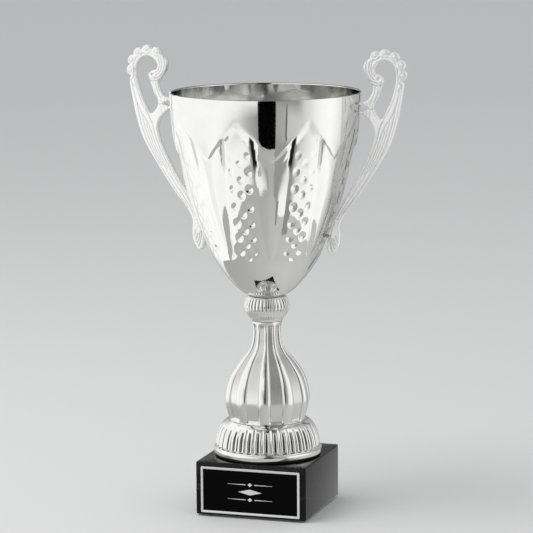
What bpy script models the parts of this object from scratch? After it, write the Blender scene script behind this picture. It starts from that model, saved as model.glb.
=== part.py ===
"""A two-handled presentation cup on a polished stone block, built piece by piece.

The pieces stack on one threaded rod: stone block, foot, stem, collar and bowl, with a nut at each end.
The two cast handles are soldered to the bowl at the top and screwed through its wall at the bottom.

Frame: origin at the centre of the underside, +Z up, the nameplate faces -Y, the handles lie along X.
Dimensions are in millimetres, and MM turns them into metres when a mesh is made.
Angles round the cup are measured in degrees from -Y towards +X.
"""

import math

import bmesh
import bpy
import numpy as np
from mathutils import Vector
from mathutils.geometry import tessellate_polygon

MM = 0.001
GAP = 0.3  # space left between pieces that touch

# Stone block, its pads and its nameplate
BLOCK_SIDE = 84.0
BLOCK_TOP = 40.6
BLOCK_EDGE = 1.2
PAD_RADIUS = 6.0
PAD_THICKNESS = 0.8
PAD_OFFSET = 32.0
RECESS_RADIUS = 13.0
RECESS_DEPTH = 12.0
PLATE_WIDTH = 75.5
PLATE_HEIGHT = 34.3
PLATE_THICKNESS = 0.6
PLATE_CENTRE_Z = 20.3
ADHESIVE_MARGIN = 3.0
ADHESIVE_THICKNESS = 0.4
SKIN_GAP = 0.15

# Rod, nuts and washers
ROD_RADIUS = 3.0
ROD_BOTTOM = 3.0
ROD_TOP = 171.5
ROD_CHAMFER = 0.5
CLEARANCE_RADIUS = 3.5
NUT_ACROSS_FLATS = 10.0
NUT_HEIGHT = 5.0
WASHER_RADIUS = 9.0
WASHER_THICKNESS = 1.6
LOCK_WASHER_RADIUS = 5.9

# Foot, stem and collar: (radius, height) up the outside, then down the inside
GASKET_THICKNESS = 0.6
GASKET_RADIUS = 38.6
GASKET_BORE = 34.4
FOOT_BOTTOM = BLOCK_TOP + GAP + GASKET_THICKNESS + GAP
FOOT_OUTSIDE = [
    (39.3, FOOT_BOTTOM),
    (39.9, 42.9),
    (39.9, 46.0),
    (38.7, 47.0),
    (37.8, 53.1),
    (35.4, 60.4),
    (32.4, 64.6),
    (29.6, 66.7),
]
FOOT_INSIDE = [(CLEARANCE_RADIUS, 66.7), (CLEARANCE_RADIUS, 64.7), (28.0, 64.7), (33.2, 59.6)]
FOOT_INSIDE += [(35.8, 52.6), (36.6, 44.5), (34.0, FOOT_BOTTOM)]
STEM_BOTTOM = 67.0
STEM_TOP = 140.3
STEM_OUTSIDE = [
    (28.4, STEM_BOTTOM),
    (30.7, 75.4),
    (31.8, 83.5),
    (30.9, 89.8),
    (27.6, 99.9),
    (21.2, 109.6),
    (14.6, 117.5),
    (12.4, 121.3),
    (10.5, 131.4),
    (11.2, STEM_TOP),
]
STEM_INSIDE = [(CLEARANCE_RADIUS, STEM_TOP), (CLEARANCE_RADIUS, 136.5), (7.8, 136.5), (8.6, 121.3)]
STEM_INSIDE += [(17.2, 109.6), (24.6, 99.0), (27.9, 84.0), (26.2, STEM_BOTTOM)]
STEM_FLUTES = 10
STEM_FLUTE_DEPTH = 0.05
STEM_FIRST_RIB = 13.3
COLLAR_BOTTOM = STEM_TOP + GAP
COLLAR_TOP = 158.8
COLLAR_OUTSIDE = [
    (11.4, COLLAR_BOTTOM),
    (12.6, 143.3),
    (15.9, 147.8),
    (16.9, 151.9),
    (15.1, 156.8),
    (13.4, COLLAR_TOP),
]
SEAT_WASHER_RADIUS = 12.0
SEAT_WASHER_THICKNESS = 0.8

# Bowl: (height, radius) of its smooth band, of the ridges below it and of the panels between them
BOWL_BOTTOM = COLLAR_TOP + GAP + SEAT_WASHER_THICKNESS + GAP
BOWL_WALL = 1.2
BOWL_UNITS = 8
RIM_HEIGHT = 309.0
BAND = [(266.0, 64.9), (270.0, 65.9), (275.5, 67.1), (284.0, 68.1), (291.7, 68.9), (300.0, 69.5)]
BAND += [(RIM_HEIGHT, 70.0)]
RIDGE = [(188.0, 38.8), (196.2, 42.8), (205.8, 46.9), (215.0, 50.6), (225.0, 54.1), (236.8, 57.7)]
RIDGE += [(245.6, 60.2), (254.4, 62.1), (263.0, 63.6), (271.0, 65.1), (276.0, 66.4), (281.0, 67.4)]
RIDGE += [(286.0, 68.0), (291.0, 68.6)]
PANEL = [(188.0, 38.8), (196.2, 42.2), (205.0, 45.8), (215.0, 49.2), (225.0, 52.6), (236.8, 56.0)]
PANEL += [(245.6, 58.2), (254.4, 60.2), (263.0, 62.1), (276.0, 64.8), (285.0, 66.6), (289.0, 67.3)]
UNDERSIDE = [(182.0, 35.2), (175.0, 30.2), (168.5, 24.7), (163.5, 19.5), (160.9, 15.6)]
UNDERSIDE += [(BOWL_BOTTOM, 13.4)]
# Degrees from a panel's middle, with the height of the band's edge and that of the slope under it
ARCH = [(0.0, 294.6), (9.5, 283.2), (22.5, 266.8)]
BEVEL = [(0.0, 9.0), (9.5, 4.2), (22.5, 3.4)]
RELIEF_END = 188.0
RIDGE_START = 9.5  # degrees from a panel's middle where the ridge begins to rise
RIDGE_FULL = 13.5
RELIEF_ROWS = (1.0, 0.8, 0.6, 0.4, 0.2, 0.0)  # shares of the way down from the arch to the relief's end
HALF_UNIT = 180.0 / BOWL_UNITS

# Handles: (distance from the cup's axis, height) of the outline
HANDLE_THICKNESS = 5.2
SCROLL_CENTRE = (89.8, 324.4)
SCROLL_RADIUS = 17.1
SCROLL_BEADS = 5
SCROLL_FIRST_BEAD = -7.0
SCROLL_BEAD_STEP = 31.5
SCROLL_BEAD_DEPTH = 2.4
SCROLL_BEAD_POWER = 0.6
HANDLE_ARM_OUTSIDE = [(104.1, 316.5), (103.6, 310), (102.3, 302.2), (99.1, 287.1), (93.8, 271.6)]
HANDLE_ARM_OUTSIDE += [(85.0, 256.2), (76.6, 243.1), (67.3, 230.0), (60.4, 221.3), (56.3, 212.4)]
HANDLE_TIP = [(56.7, 205), (55.3, 196.5), (50.6, 190.7), (47.2, 194.5), (46.8, 199.5), (49.2, 207)]
HANDLE_ARM_INSIDE = [(51.0, 212.6), (53.8, 221.6), (58.2, 230.4), (64.1, 239.1), (69.6, 247.8)]
HANDLE_ARM_INSIDE += [(74.1, 256.5), (78.3, 265.3), (81.5, 274), (82.6, 280.5), (80.8, 287), (76.8, 291.5)]
HANDLE_FORK = [(73.6, 294.0), (70.9, 295.0), (70.9, 296.6), (74.6, 297.0), (78.0, 298.4), (74.6, 300.2)]
HANDLE_FORK += [(70.9, 301.0), (70.9, 302.6), (74.0, 303.0)]
HANDLE_NECK = [(77.8, 304.8), (80.6, 309), (81.4, 314.4), (80.1, 316.8), (77.0, 320.5), (74.9, 325)]
HANDLE_NECK += [(74.6, 329.5), (77.0, 333.0)]
HANDLE_LOOP = [(90.3, 333.4), (95.5, 331.2), (98.4, 325.8), (98.7, 320), (98.1, 315.4), (95.3, 305.5)]
HANDLE_LOOP += [(91.9, 297.7), (87.7, 291.2), (83.9, 294.5), (82.3, 299.6), (85.7, 307), (88.2, 314.7)]
HANDLE_LOOP += [(89.5, 319.9), (87.0, 322.5), (83.5, 323.6), (82.5, 326.1), (85.3, 331.2)]
SOLDER_RADIUS = 0.75
SOLDER_START = 69.85
SOLDER_LENGTH = 0.7
SOLDER_HEIGHTS = {"lower": 295.8, "upper": 301.8}

# Screw through the bowl's wall into each handle's lower end, square to the wall
SCREW_HEIGHT = 205.0
SCREW_WALL_RADIUS = 45.8
SCREW_TILT = 22.0  # degrees below the horizontal, going outwards
SCREW_RADIUS = 1.25
SCREW_HOLE_RADIUS = 1.6
SCREW_HEAD_RADIUS = 2.5
SCREW_HEAD_HEIGHT = 1.8
SCREW_CROWN_RADIUS = 2.0
SCREW_CROWN_DROP = 0.6
SCREW_REACH = 6.0
SCREW_WASHER_RADIUS = 3.2
SCREW_WASHER_THICKNESS = 0.5
BOSS_RADIUS = 2.9
BOSS_END = 5.0

# How finely curves are drawn
FOOT_SEGMENTS = 48
STEM_SEGMENTS = 40
COLLAR_SEGMENTS = 36
RECESS_SEGMENTS = 32
SMALL_SEGMENTS = 24
ROD_SEGMENTS = 20
HOLE_SEGMENTS = 16
BEAD_SEGMENTS = 12
BEAD_POINTS = 6
CURVE_STEPS = 3
EDGE_STEPS = 2
SHARP_ANGLE = 35.0  # degrees

# Spare length of cutters, and the block's bore over the rod's other clearances
CUTTER_OVERRUN = 4.0
BLOCK_BORE_SLACK = 0.5


def finish(name, colour, metallic, roughness):
    """A material with the piece's own colour, metallic value and roughness."""
    made = bpy.data.materials.new(name)
    made.use_nodes = True
    shader = made.node_tree.nodes["Principled BSDF"]
    shader.inputs["Base Color"].default_value = (*colour, 1.0)
    shader.inputs["Metallic"].default_value = metallic
    shader.inputs["Roughness"].default_value = roughness
    return made


def place(name, mesh, material):
    """Put a mesh into the scene as a named object."""
    mesh.shade_smooth()
    mesh.set_sharp_from_angle(angle=math.radians(SHARP_ANGLE))
    mesh.materials.append(material)
    piece = bpy.data.objects.new(name, mesh)
    bpy.context.scene.collection.objects.link(piece)
    return piece


def mesh_from(name, points, faces):
    """A mesh from points in millimetres and lists of corners."""
    mesh = bpy.data.meshes.new(name)
    mesh.from_pydata([tuple(p) for p in np.asarray(points) * MM], [], faces)
    mesh.update()
    return mesh


def ring_mesh(name, rings):
    """A closed tube-like solid from rings of points: rings go up the outside and down the inside."""
    rows, columns = rings.shape[:2]
    faces = []
    for i in range(rows):
        for j in range(columns):
            a, b = i * columns, ((i + 1) % rows) * columns
            k = (j + 1) % columns
            faces.append((a + j, a + k, b + k, b + j))
    return mesh_from(name, rings.reshape(-1, 3), faces)


def round_the_axis(radii, heights, angles):
    """Points at the given radii and heights, at angles measured in degrees from -Y towards +X."""
    turn = np.radians(angles)
    return np.stack([radii * np.sin(turn), -radii * np.cos(turn), heights + 0.0 * turn], axis=-1)


def turned(name, outline, material, segments, ripple=None):
    """A solid of revolution from a closed outline of (radius, height) that stays clear of the axis.

    ripple(radius, angle) may change the radius round the piece.
    """
    angles = np.arange(segments) * 360.0 / segments
    rings = []
    for radius, height in outline:
        radii = np.full(segments, radius)
        if ripple is not None:
            radii = ripple(radii, angles)
        rings.append(round_the_axis(radii, np.full(segments, height), angles))
    return place(name, ring_mesh(name, np.array(rings)), material)


def washer(name, bottom, thickness, radius, material, bore=CLEARANCE_RADIUS, segments=SMALL_SEGMENTS):
    """A flat ring."""
    top = bottom + thickness
    return turned(name, [(radius, bottom), (radius, top), (bore, top), (bore, bottom)], material, segments)


def spun(name, outline, segments):
    """A mesh spun round +Z from an outline of (radius, height) that starts and ends on the axis."""
    shape = bmesh.new()
    points = [shape.verts.new((r * MM, 0.0, z * MM)) for r, z in outline]
    edges = [shape.edges.new(pair) for pair in zip(points, points[1:])]
    bmesh.ops.spin(
        shape,
        geom=points + edges,
        axis=(0, 0, 1),
        cent=(0, 0, 0),
        angle=math.tau,
        steps=segments,
        use_merge=True,
    )
    bmesh.ops.remove_doubles(shape, verts=shape.verts, dist=0.01 * MM)
    bmesh.ops.recalc_face_normals(shape, faces=shape.faces)
    mesh = bpy.data.meshes.new(name)
    shape.to_mesh(mesh)
    shape.free()
    return mesh


def rod_mesh(name, radius, bottom, top, segments):
    """A plain round rod along +Z."""
    return spun(name, [(0.0, bottom), (radius, bottom), (radius, top), (0.0, top)], segments)


def nut(name, bottom, material):
    """A hexagon nut with a round bore."""
    segments = SMALL_SEGMENTS
    angles = np.arange(segments) * 360.0 / segments
    from_flat = np.radians((angles + 30.0) % 60.0 - 30.0)
    hexagon = 0.5 * NUT_ACROSS_FLATS / np.cos(from_flat)
    bore = np.full(segments, ROD_RADIUS + GAP)
    top = bottom + NUT_HEIGHT
    outline = ((hexagon, bottom), (hexagon, top), (bore, top), (bore, bottom))
    rings = [round_the_axis(radii, np.full(segments, height), angles) for radii, height in outline]
    return place(name, ring_mesh(name, np.array(rings)), material)


def cut(piece, cutter):
    """Take the cutter's shape out of the piece."""
    change = piece.modifiers.new("cut_" + cutter.name, "BOOLEAN")
    change.operation = "DIFFERENCE"
    change.object = cutter


def join(piece, addition):
    """Add the other shape to the piece."""
    change = piece.modifiers.new("join_" + addition.name, "BOOLEAN")
    change.operation = "UNION"
    change.object = addition


def guide(name, mesh):
    """An object that only shapes others, so it isn't part of the model."""
    shape = bpy.data.objects.new(name, mesh)
    bpy.context.scene.collection.objects.link(shape)
    shape.hide_render = True
    shape.display_type = "WIRE"
    return shape


def along_screw(piece, side):
    """Put a piece modelled along +Z on the screw's line, with z = 0 at the bowl's outer face."""
    tilt = math.radians(SCREW_TILT)
    line = Vector((side * math.cos(tilt), 0.0, -math.sin(tilt)))
    piece.rotation_euler = line.to_track_quat("Z", "Y").to_euler()
    piece.location = Vector((side * SCREW_WALL_RADIUS, 0.0, SCREW_HEIGHT)) * MM


def smooth_path(points, steps=CURVE_STEPS, closed=False):
    """A Catmull-Rom curve through the points."""
    points = np.array(points, dtype=float)
    if closed:
        ends = np.vstack([points[-1:], points, points[:2]])
    else:
        ends = np.vstack([2 * points[:1] - points[1:2], points, 2 * points[-1:] - points[-2:-1]])
    path = []
    for p0, p1, p2, p3 in zip(ends, ends[1:], ends[2:], ends[3:]):
        for t in np.arange(steps) / steps:
            third = 3 * (p1 - p2) + p3 - p0
            second = 2 * p0 - 5 * p1 + 4 * p2 - p3
            path.append(p1 + 0.5 * t * (p2 - p0 + t * (second + t * third)))
    if not closed:
        path.append(points[-1])
    return path


def scroll_edge():
    """The scroll's outer edge: five round beads in a row, from the cup's side over the top and down."""
    first = SCROLL_FIRST_BEAD - 0.5 * SCROLL_BEAD_STEP
    last = first + SCROLL_BEADS * SCROLL_BEAD_STEP
    edge = []
    for angle in np.linspace(last, first, SCROLL_BEADS * BEAD_POINTS + 1):
        bead = abs(math.cos(math.pi * (angle - SCROLL_FIRST_BEAD) / SCROLL_BEAD_STEP)) ** SCROLL_BEAD_POWER
        radius = SCROLL_RADIUS - SCROLL_BEAD_DEPTH * (1.0 - bead)
        turn = math.radians(angle)
        out, up = radius * math.cos(turn), radius * math.sin(turn)
        edge.append((SCROLL_CENTRE[0] + out, SCROLL_CENTRE[1] + up))
    return edge


def handle_mesh(name, side):
    """The cast handle as a plate of even thickness with its scroll's opening."""
    arm = smooth_path(HANDLE_ARM_OUTSIDE + HANDLE_TIP + HANDLE_ARM_INSIDE)
    outline = [np.array(p) for p in scroll_edge()] + arm
    outline += [np.array(p, dtype=float) for p in HANDLE_FORK] + smooth_path(HANDLE_NECK)
    loop = smooth_path(HANDLE_LOOP, closed=True)
    flat = [[Vector((x, 0.0, z)) for x, z in line] for line in (outline, loop)]
    triangles = tessellate_polygon(flat)
    points = [(side * x, z) for x, z in outline + loop]
    count = len(points)
    half = 0.5 * HANDLE_THICKNESS
    corners = [(x, -half, z) for x, z in points] + [(x, half, z) for x, z in points]
    faces = [tuple(t) for t in triangles] + [tuple(i + count for i in reversed(t)) for t in triangles]
    start = 0
    for line in (outline, loop):
        size = len(line)
        for i in range(size):
            a, b = start + i, start + (i + 1) % size
            faces.append((a, b, b + count, a + count))
        start += size
    shape = bmesh.new()
    mesh = mesh_from(name, corners, faces)
    shape.from_mesh(mesh)
    bmesh.ops.recalc_face_normals(shape, faces=shape.faces)
    shape.to_mesh(mesh)
    shape.free()
    return mesh


def profile(points, place_on):
    """A profile's second value where its first is place_on, on straight lines between its pairs."""
    places, values = zip(*points)
    return float(np.interp(place_on, places, values))


def bowl_column(from_panel):
    """The bowl's outer profile as (radius, height) at an angle from the nearest panel's middle."""
    ridge = min(max((from_panel - RIDGE_START) / (RIDGE_FULL - RIDGE_START), 0.0), 1.0)
    edge = profile(ARCH, from_panel)
    lower = edge - profile(BEVEL, from_panel)
    column = [(radius, height) for height, radius in reversed(UNDERSIDE)]
    for share in RELIEF_ROWS:
        height = lower + share * (RELIEF_END - lower)
        radius = (1.0 - ridge) * profile(PANEL, height) + ridge * profile(RIDGE, height)
        column.append((radius, height))
    column.append((profile(BAND, edge), edge))
    for share in (0.5, 1.0):
        height = edge + share * (RIM_HEIGHT - edge)
        column.append((profile(BAND, height), height))
    return np.array(column)


def offset_inwards(column, wall):
    """The same profile moved towards the inside of the bowl by the wall's thickness."""
    along = np.gradient(column, axis=0)
    along /= np.linalg.norm(along, axis=1, keepdims=True)
    inner = column + wall * np.stack([-along[:, 1], along[:, 0]], axis=1)
    inner[-1] = (column[-1, 0] - wall, column[-1, 1])
    inner[0] = (column[0, 0], column[0, 1] + wall)
    return inner


def bowl_mesh(name):
    """The embossed bowl: eight panels and eight ridges below a smooth band with a pointed lower edge."""
    half = [0.0, RIDGE_START, RIDGE_FULL]
    unit = half + [HALF_UNIT] + [2 * HALF_UNIT - w for w in reversed(half[1:])]
    columns = []
    for k in range(BOWL_UNITS):
        for angle in unit:
            from_panel = min(angle, 2 * HALF_UNIT - angle)
            outer = bowl_column(from_panel)
            inner = offset_inwards(outer, BOWL_WALL)
            bore = np.array([[CLEARANCE_RADIUS, BOWL_BOTTOM]])
            bore_top = np.array([[CLEARANCE_RADIUS, BOWL_BOTTOM + BOWL_WALL]])
            loop = np.vstack([bore, outer, inner[::-1], bore_top])
            turn = np.full(len(loop), 2 * HALF_UNIT * k + angle)
            columns.append(round_the_axis(loop[:, 0], loop[:, 1], turn))
    return ring_mesh(name, np.array(columns).transpose(1, 0, 2))


def make_block(stone):
    """The stone block: bevelled edges, a through hole and a recess below for the nut."""
    bottom = PAD_THICKNESS + GAP
    shape = bmesh.new()
    bmesh.ops.create_cube(shape, size=1.0)
    size = np.array([BLOCK_SIDE, BLOCK_SIDE, BLOCK_TOP - bottom]) * MM
    bmesh.ops.scale(shape, verts=shape.verts, vec=size)
    bmesh.ops.translate(shape, verts=shape.verts, vec=(0, 0, 0.5 * (BLOCK_TOP + bottom) * MM))
    bmesh.ops.bevel(
        shape, geom=shape.edges, offset=BLOCK_EDGE * MM, segments=EDGE_STEPS, profile=0.5, affect="EDGES"
    )
    mesh = bpy.data.meshes.new("marble_base")
    shape.to_mesh(mesh)
    shape.free()
    block = place("marble_base", mesh, stone)
    step = bottom + RECESS_DEPTH
    bore = CLEARANCE_RADIUS + BLOCK_BORE_SLACK
    below, above = bottom - CUTTER_OVERRUN, BLOCK_TOP + CUTTER_OVERRUN
    outline = [(0, below), (RECESS_RADIUS, below), (RECESS_RADIUS, step)]
    outline += [(bore, step), (bore, above), (0, above)]
    cut(block, guide("block_hole", spun("block_hole", outline, RECESS_SEGMENTS)))
    return step


def make_plate(metal, glue):
    """The nameplate and the adhesive film behind it, on the block's front face."""
    front = -0.5 * BLOCK_SIDE
    film = front - SKIN_GAP - 0.5 * ADHESIVE_THICKNESS
    plate = film - 0.5 * ADHESIVE_THICKNESS - SKIN_GAP - 0.5 * PLATE_THICKNESS
    for name, material, margin, thickness, middle in (
        ("nameplate", metal, 0.0, PLATE_THICKNESS, plate),
        ("nameplate_adhesive", glue, ADHESIVE_MARGIN, ADHESIVE_THICKNESS, film),
    ):
        width = PLATE_WIDTH - 2 * margin
        height = PLATE_HEIGHT - 2 * margin
        shape = bmesh.new()
        bmesh.ops.create_cube(shape, size=MM)
        bmesh.ops.scale(shape, verts=shape.verts, vec=(width, thickness, height))
        mesh = bpy.data.meshes.new(name)
        shape.to_mesh(mesh)
        shape.free()
        piece = place(name, mesh, material)
        piece.location = (0.0, middle * MM, PLATE_CENTRE_Z * MM)


def make_stack(silver, fibre, steel, rubber, recess_roof):
    """Everything on the rod, from the nut under the block to the nut inside the bowl."""
    level = BLOCK_TOP + GAP
    washer("foot_gasket", level, GASKET_THICKNESS, GASKET_RADIUS, rubber, GASKET_BORE, FOOT_SEGMENTS)
    turned("foot", FOOT_OUTSIDE + FOOT_INSIDE, silver, FOOT_SEGMENTS)

    def fluted(radii, angles):
        rise = 1.0 + STEM_FLUTE_DEPTH * (np.cos(np.radians(STEM_FLUTES * (angles - STEM_FIRST_RIB))) - 1.0)
        return np.where(radii > CLEARANCE_RADIUS, radii * rise, radii)

    turned("stem", STEM_OUTSIDE + STEM_INSIDE, silver, STEM_SEGMENTS, fluted)
    collar = COLLAR_OUTSIDE + [(CLEARANCE_RADIUS, COLLAR_TOP), (CLEARANCE_RADIUS, COLLAR_BOTTOM)]
    turned("collar", collar, silver, COLLAR_SEGMENTS)
    washer("bowl_seat_washer", COLLAR_TOP + GAP, SEAT_WASHER_THICKNESS, SEAT_WASHER_RADIUS, fibre)
    inside = BOWL_BOTTOM + BOWL_WALL + GAP
    washer("bowl_washer", inside, WASHER_THICKNESS, WASHER_RADIUS, steel)
    nut("bowl_nut", inside + WASHER_THICKNESS + GAP, steel)
    level = recess_roof - GAP - WASHER_THICKNESS
    washer("base_washer", level, WASHER_THICKNESS, WASHER_RADIUS, steel)
    level -= GAP + WASHER_THICKNESS
    washer("base_lock_washer", level, WASHER_THICKNESS, LOCK_WASHER_RADIUS, steel)
    nut("base_nut", level - GAP - NUT_HEIGHT, steel)
    slim = ROD_RADIUS - ROD_CHAMFER
    outline = [(0, ROD_BOTTOM), (slim, ROD_BOTTOM), (ROD_RADIUS, ROD_BOTTOM + ROD_CHAMFER)]
    outline += [(ROD_RADIUS, ROD_TOP - ROD_CHAMFER), (slim, ROD_TOP), (0, ROD_TOP)]
    place("tie_rod", spun("tie_rod", outline, ROD_SEGMENTS), steel)


def make_handle(label, side, cast, tin, steel, bowl):
    """One handle with its solder, its screw and the screw's washer."""
    handle = place("handle_" + label, handle_mesh("handle_" + label, side), cast)
    boss = guide("boss_" + label, rod_mesh("boss", BOSS_RADIUS, GAP, BOSS_END, ROD_SEGMENTS))
    along_screw(boss, side)
    join(handle, boss)
    drill_end = SCREW_REACH + 2 * GAP
    drill = rod_mesh("screw_hole", SCREW_HOLE_RADIUS, -CUTTER_OVERRUN, drill_end, HOLE_SEGMENTS)
    hole = guide("screw_hole_" + label, drill)
    along_screw(hole, side)
    cut(handle, hole)
    cut(bowl, hole)

    back = -BOWL_WALL - 2 * GAP - SCREW_WASHER_THICKNESS
    ring = [(SCREW_WASHER_RADIUS, back), (SCREW_WASHER_RADIUS, back + SCREW_WASHER_THICKNESS)]
    ring += [(SCREW_HOLE_RADIUS, back + SCREW_WASHER_THICKNESS), (SCREW_HOLE_RADIUS, back)]
    along_screw(turned("screw_washer_" + label, ring, steel, SMALL_SEGMENTS), side)
    seat = back - GAP
    crown = seat - SCREW_HEAD_HEIGHT
    outline = [(0, crown), (SCREW_CROWN_RADIUS, crown), (SCREW_HEAD_RADIUS, crown + SCREW_CROWN_DROP)]
    outline += [(SCREW_HEAD_RADIUS, seat), (SCREW_RADIUS, seat)]
    outline += [(SCREW_RADIUS, SCREW_REACH), (0, SCREW_REACH)]
    screw = spun("handle_screw_" + label, outline, ROD_SEGMENTS)
    along_screw(place("handle_screw_" + label, screw, steel), side)

    for level, height in SOLDER_HEIGHTS.items():
        name = "solder_{}_{}".format(label, level)
        bead = place(name, rod_mesh(name, SOLDER_RADIUS, 0.0, SOLDER_LENGTH, BEAD_SEGMENTS), tin)
        bead.rotation_euler = (0.0, side * 0.5 * math.pi, 0.0)
        bead.location = (side * SOLDER_START * MM, 0.0, height * MM)


def build():
    """Make the whole cup."""
    for old in list(bpy.data.objects):
        bpy.data.objects.remove(old)
    silver = finish("silver_plate", (0.86, 0.86, 0.85), 1.0, 0.08)
    cast = finish("satin_silver_plate", (0.88, 0.88, 0.87), 1.0, 0.25)
    stone = finish("black_marble", (0.02, 0.02, 0.022), 0.0, 0.1)
    anodised = finish("black_anodised_plate", (0.015, 0.015, 0.016), 0.6, 0.25)
    steel = finish("zinc_plated_steel", (0.62, 0.63, 0.65), 1.0, 0.35)
    tin = finish("silver_solder", (0.72, 0.72, 0.70), 1.0, 0.35)
    rubber = finish("black_rubber", (0.02, 0.02, 0.02), 0.0, 0.7)
    fibre = finish("white_nylon", (0.75, 0.75, 0.72), 0.0, 0.5)
    glue = finish("acrylic_adhesive", (0.7, 0.7, 0.66), 0.0, 0.5)

    recess_roof = make_block(stone)
    for k, (x, y) in enumerate(((-1, -1), (1, -1), (1, 1), (-1, 1))):
        mesh = rod_mesh("base_pad", PAD_RADIUS, 0.0, PAD_THICKNESS, SMALL_SEGMENTS)
        pad = place("base_pad_{}".format(k + 1), mesh, rubber)
        pad.location = (x * PAD_OFFSET * MM, y * PAD_OFFSET * MM, 0.0)
    make_plate(anodised, glue)
    make_stack(silver, fibre, steel, rubber, recess_roof)
    bowl = place("bowl", bowl_mesh("bowl"), silver)
    for label, side in (("left", -1.0), ("right", 1.0)):
        make_handle(label, side, cast, tin, steel, bowl)


build()
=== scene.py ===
"""Looks of the presentation cup: plated bowl, cast handles, collar, stem and foot on a polished stone block.

Shapes are worked out in millimetres, in the part's own frame: +Z up, the nameplate faces -Y, and the handles
lie along X. Angles round the cup are in degrees from -Y towards +X.
"""

import math

import bpy
import numpy as np
from mathutils import Matrix, Vector
from mathutils.geometry import delaunay_2d_cdt


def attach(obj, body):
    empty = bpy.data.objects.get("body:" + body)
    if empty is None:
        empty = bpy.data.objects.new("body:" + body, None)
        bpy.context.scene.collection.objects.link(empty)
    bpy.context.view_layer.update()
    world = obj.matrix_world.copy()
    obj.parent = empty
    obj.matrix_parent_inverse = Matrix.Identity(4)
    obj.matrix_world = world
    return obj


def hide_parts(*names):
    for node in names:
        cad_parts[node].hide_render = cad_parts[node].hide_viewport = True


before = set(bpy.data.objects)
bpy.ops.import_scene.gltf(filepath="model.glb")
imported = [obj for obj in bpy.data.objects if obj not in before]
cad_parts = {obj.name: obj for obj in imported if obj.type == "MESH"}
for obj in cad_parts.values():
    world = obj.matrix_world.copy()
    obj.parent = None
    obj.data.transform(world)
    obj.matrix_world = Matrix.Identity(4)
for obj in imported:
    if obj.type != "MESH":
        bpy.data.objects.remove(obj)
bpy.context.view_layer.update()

MM = 0.001
CAMERA_ANGLE = 18.0  # degrees round the cup


# ---------------------------------------------------------------- materials


def linear(code):
    """An sRGB hex colour as linear RGBA."""
    values = [int(code[i : i + 2], 16) / 255.0 for i in (1, 3, 5)]
    straight = [v / 12.92 if v <= 0.04045 else ((v + 0.055) / 1.055) ** 2.4 for v in values]
    return (*straight, 1.0)


def add(tree, kind, inputs=None, **settings):
    """Add one node: inputs maps a socket's name or number to a value, or to another node's output."""
    node = tree.nodes.new(kind)
    for key, value in settings.items():
        setattr(node, key, value)
    for key, value in (inputs or {}).items():
        if isinstance(value, bpy.types.NodeSocket):
            tree.links.new(value, node.inputs[key])
        else:
            node.inputs[key].default_value = value
    return node


def empty_material(name):
    """A new node material, with its tree and its Principled shader."""
    made = bpy.data.materials.new(name)
    made.use_nodes = True
    tree = made.node_tree
    return made, tree, tree.nodes["Principled BSDF"]


def ramp(tree, factor, stops):
    """A colour ramp through (position, hex colour) stops."""
    node = add(tree, "ShaderNodeValToRGB", {"Fac": factor})
    points = node.color_ramp.elements
    while len(points) < len(stops):
        points.new(0.5)
    for point, (position, code) in zip(points, stops):
        point.position = position
        point.color = linear(code)
    return node.outputs["Color"]


def per_metre(spacing_mm):
    """Texture scale on Object coordinates for features this far apart."""
    return 1.0 / (spacing_mm * MM)


SMEAR_MM = 9.0  # size of the faint smears on every silver piece
SMEAR_DULLNESS = 0.07
TURNED_LINE_MM = 1.6  # far coarser than real polishing rings, so that they show
LINE_DEPTH_MM = (0.004, 0.06)  # on open surfaces and in recesses


def silver(name, bright, shade, roughness, spread, wave_mm, wave_height_mm, turned_lines=0.0, metallic=1.0):
    """Silver plate: bright metal, turning to the shade and duller by the spread where the recess is 1.

    The eye gets clean mirror reflections broken by very soft waves of the sheet, faint rings left by the
    polishing wheel, and grey, duller painted shade where the recess marks creases, grooves and hollows. A
    metallic value below 1 adds a pale coat.
    """
    made, tree, shader = empty_material(name)
    place = add(tree, "ShaderNodeTexCoord").outputs["Object"]
    recess = add(tree, "ShaderNodeAttribute", attribute_name="recess").outputs["Fac"]
    smear = add(tree, "ShaderNodeTexNoise", {"Vector": place, "Scale": per_metre(SMEAR_MM), "Detail": 3.0})
    clouds = add(tree, "ShaderNodeMath", {0: smear.outputs["Fac"], 1: SMEAR_DULLNESS}, operation="MULTIPLY")
    # The recess brings painted shade, grey and duller, into creases and hollows; the smears are real dull
    # marks
    smear_and_painted_shade = add(tree, "ShaderNodeMath", {0: recess, 1: clouds.outputs[0]}, operation="MAXIMUM")
    colour = ramp(tree, smear_and_painted_shade.outputs[0], [(0.0, bright), (1.0, shade)])
    tree.links.new(colour, shader.inputs["Base Color"])
    dull = add(
        tree,
        "ShaderNodeMapRange",
        {"Value": smear_and_painted_shade.outputs[0], "To Min": roughness, "To Max": roughness + spread},
    )
    tree.links.new(dull.outputs["Result"], shader.inputs["Roughness"])
    shader.inputs["Metallic"].default_value = metallic
    rings = add(tree, "ShaderNodeMapping", {"Vector": place, "Scale": (0.01, 0.01, 1.0)})
    lines = add(
        tree,
        "ShaderNodeTexNoise",
        {"Vector": rings.outputs["Vector"], "Scale": per_metre(TURNED_LINE_MM), "Detail": 2.0},
    )
    shallow, deep = (depth * MM * turned_lines for depth in LINE_DEPTH_MM)
    spun = add(tree, "ShaderNodeMapRange", {"Value": recess, "To Min": shallow, "To Max": deep})
    waves = add(tree, "ShaderNodeTexNoise", {"Vector": place, "Scale": per_metre(wave_mm), "Detail": 1.0})
    fine = add(
        tree,
        "ShaderNodeBump",
        {"Height": lines.outputs["Fac"], "Distance": spun.outputs["Result"], "Strength": 1.0},
    )
    soft = add(
        tree,
        "ShaderNodeBump",
        {
            "Height": waves.outputs["Fac"],
            "Distance": wave_height_mm * MM,
            "Strength": 1.0,
            "Normal": fine.outputs["Normal"],
        },
    )
    tree.links.new(soft.outputs["Normal"], shader.inputs["Normal"])
    return made


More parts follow.
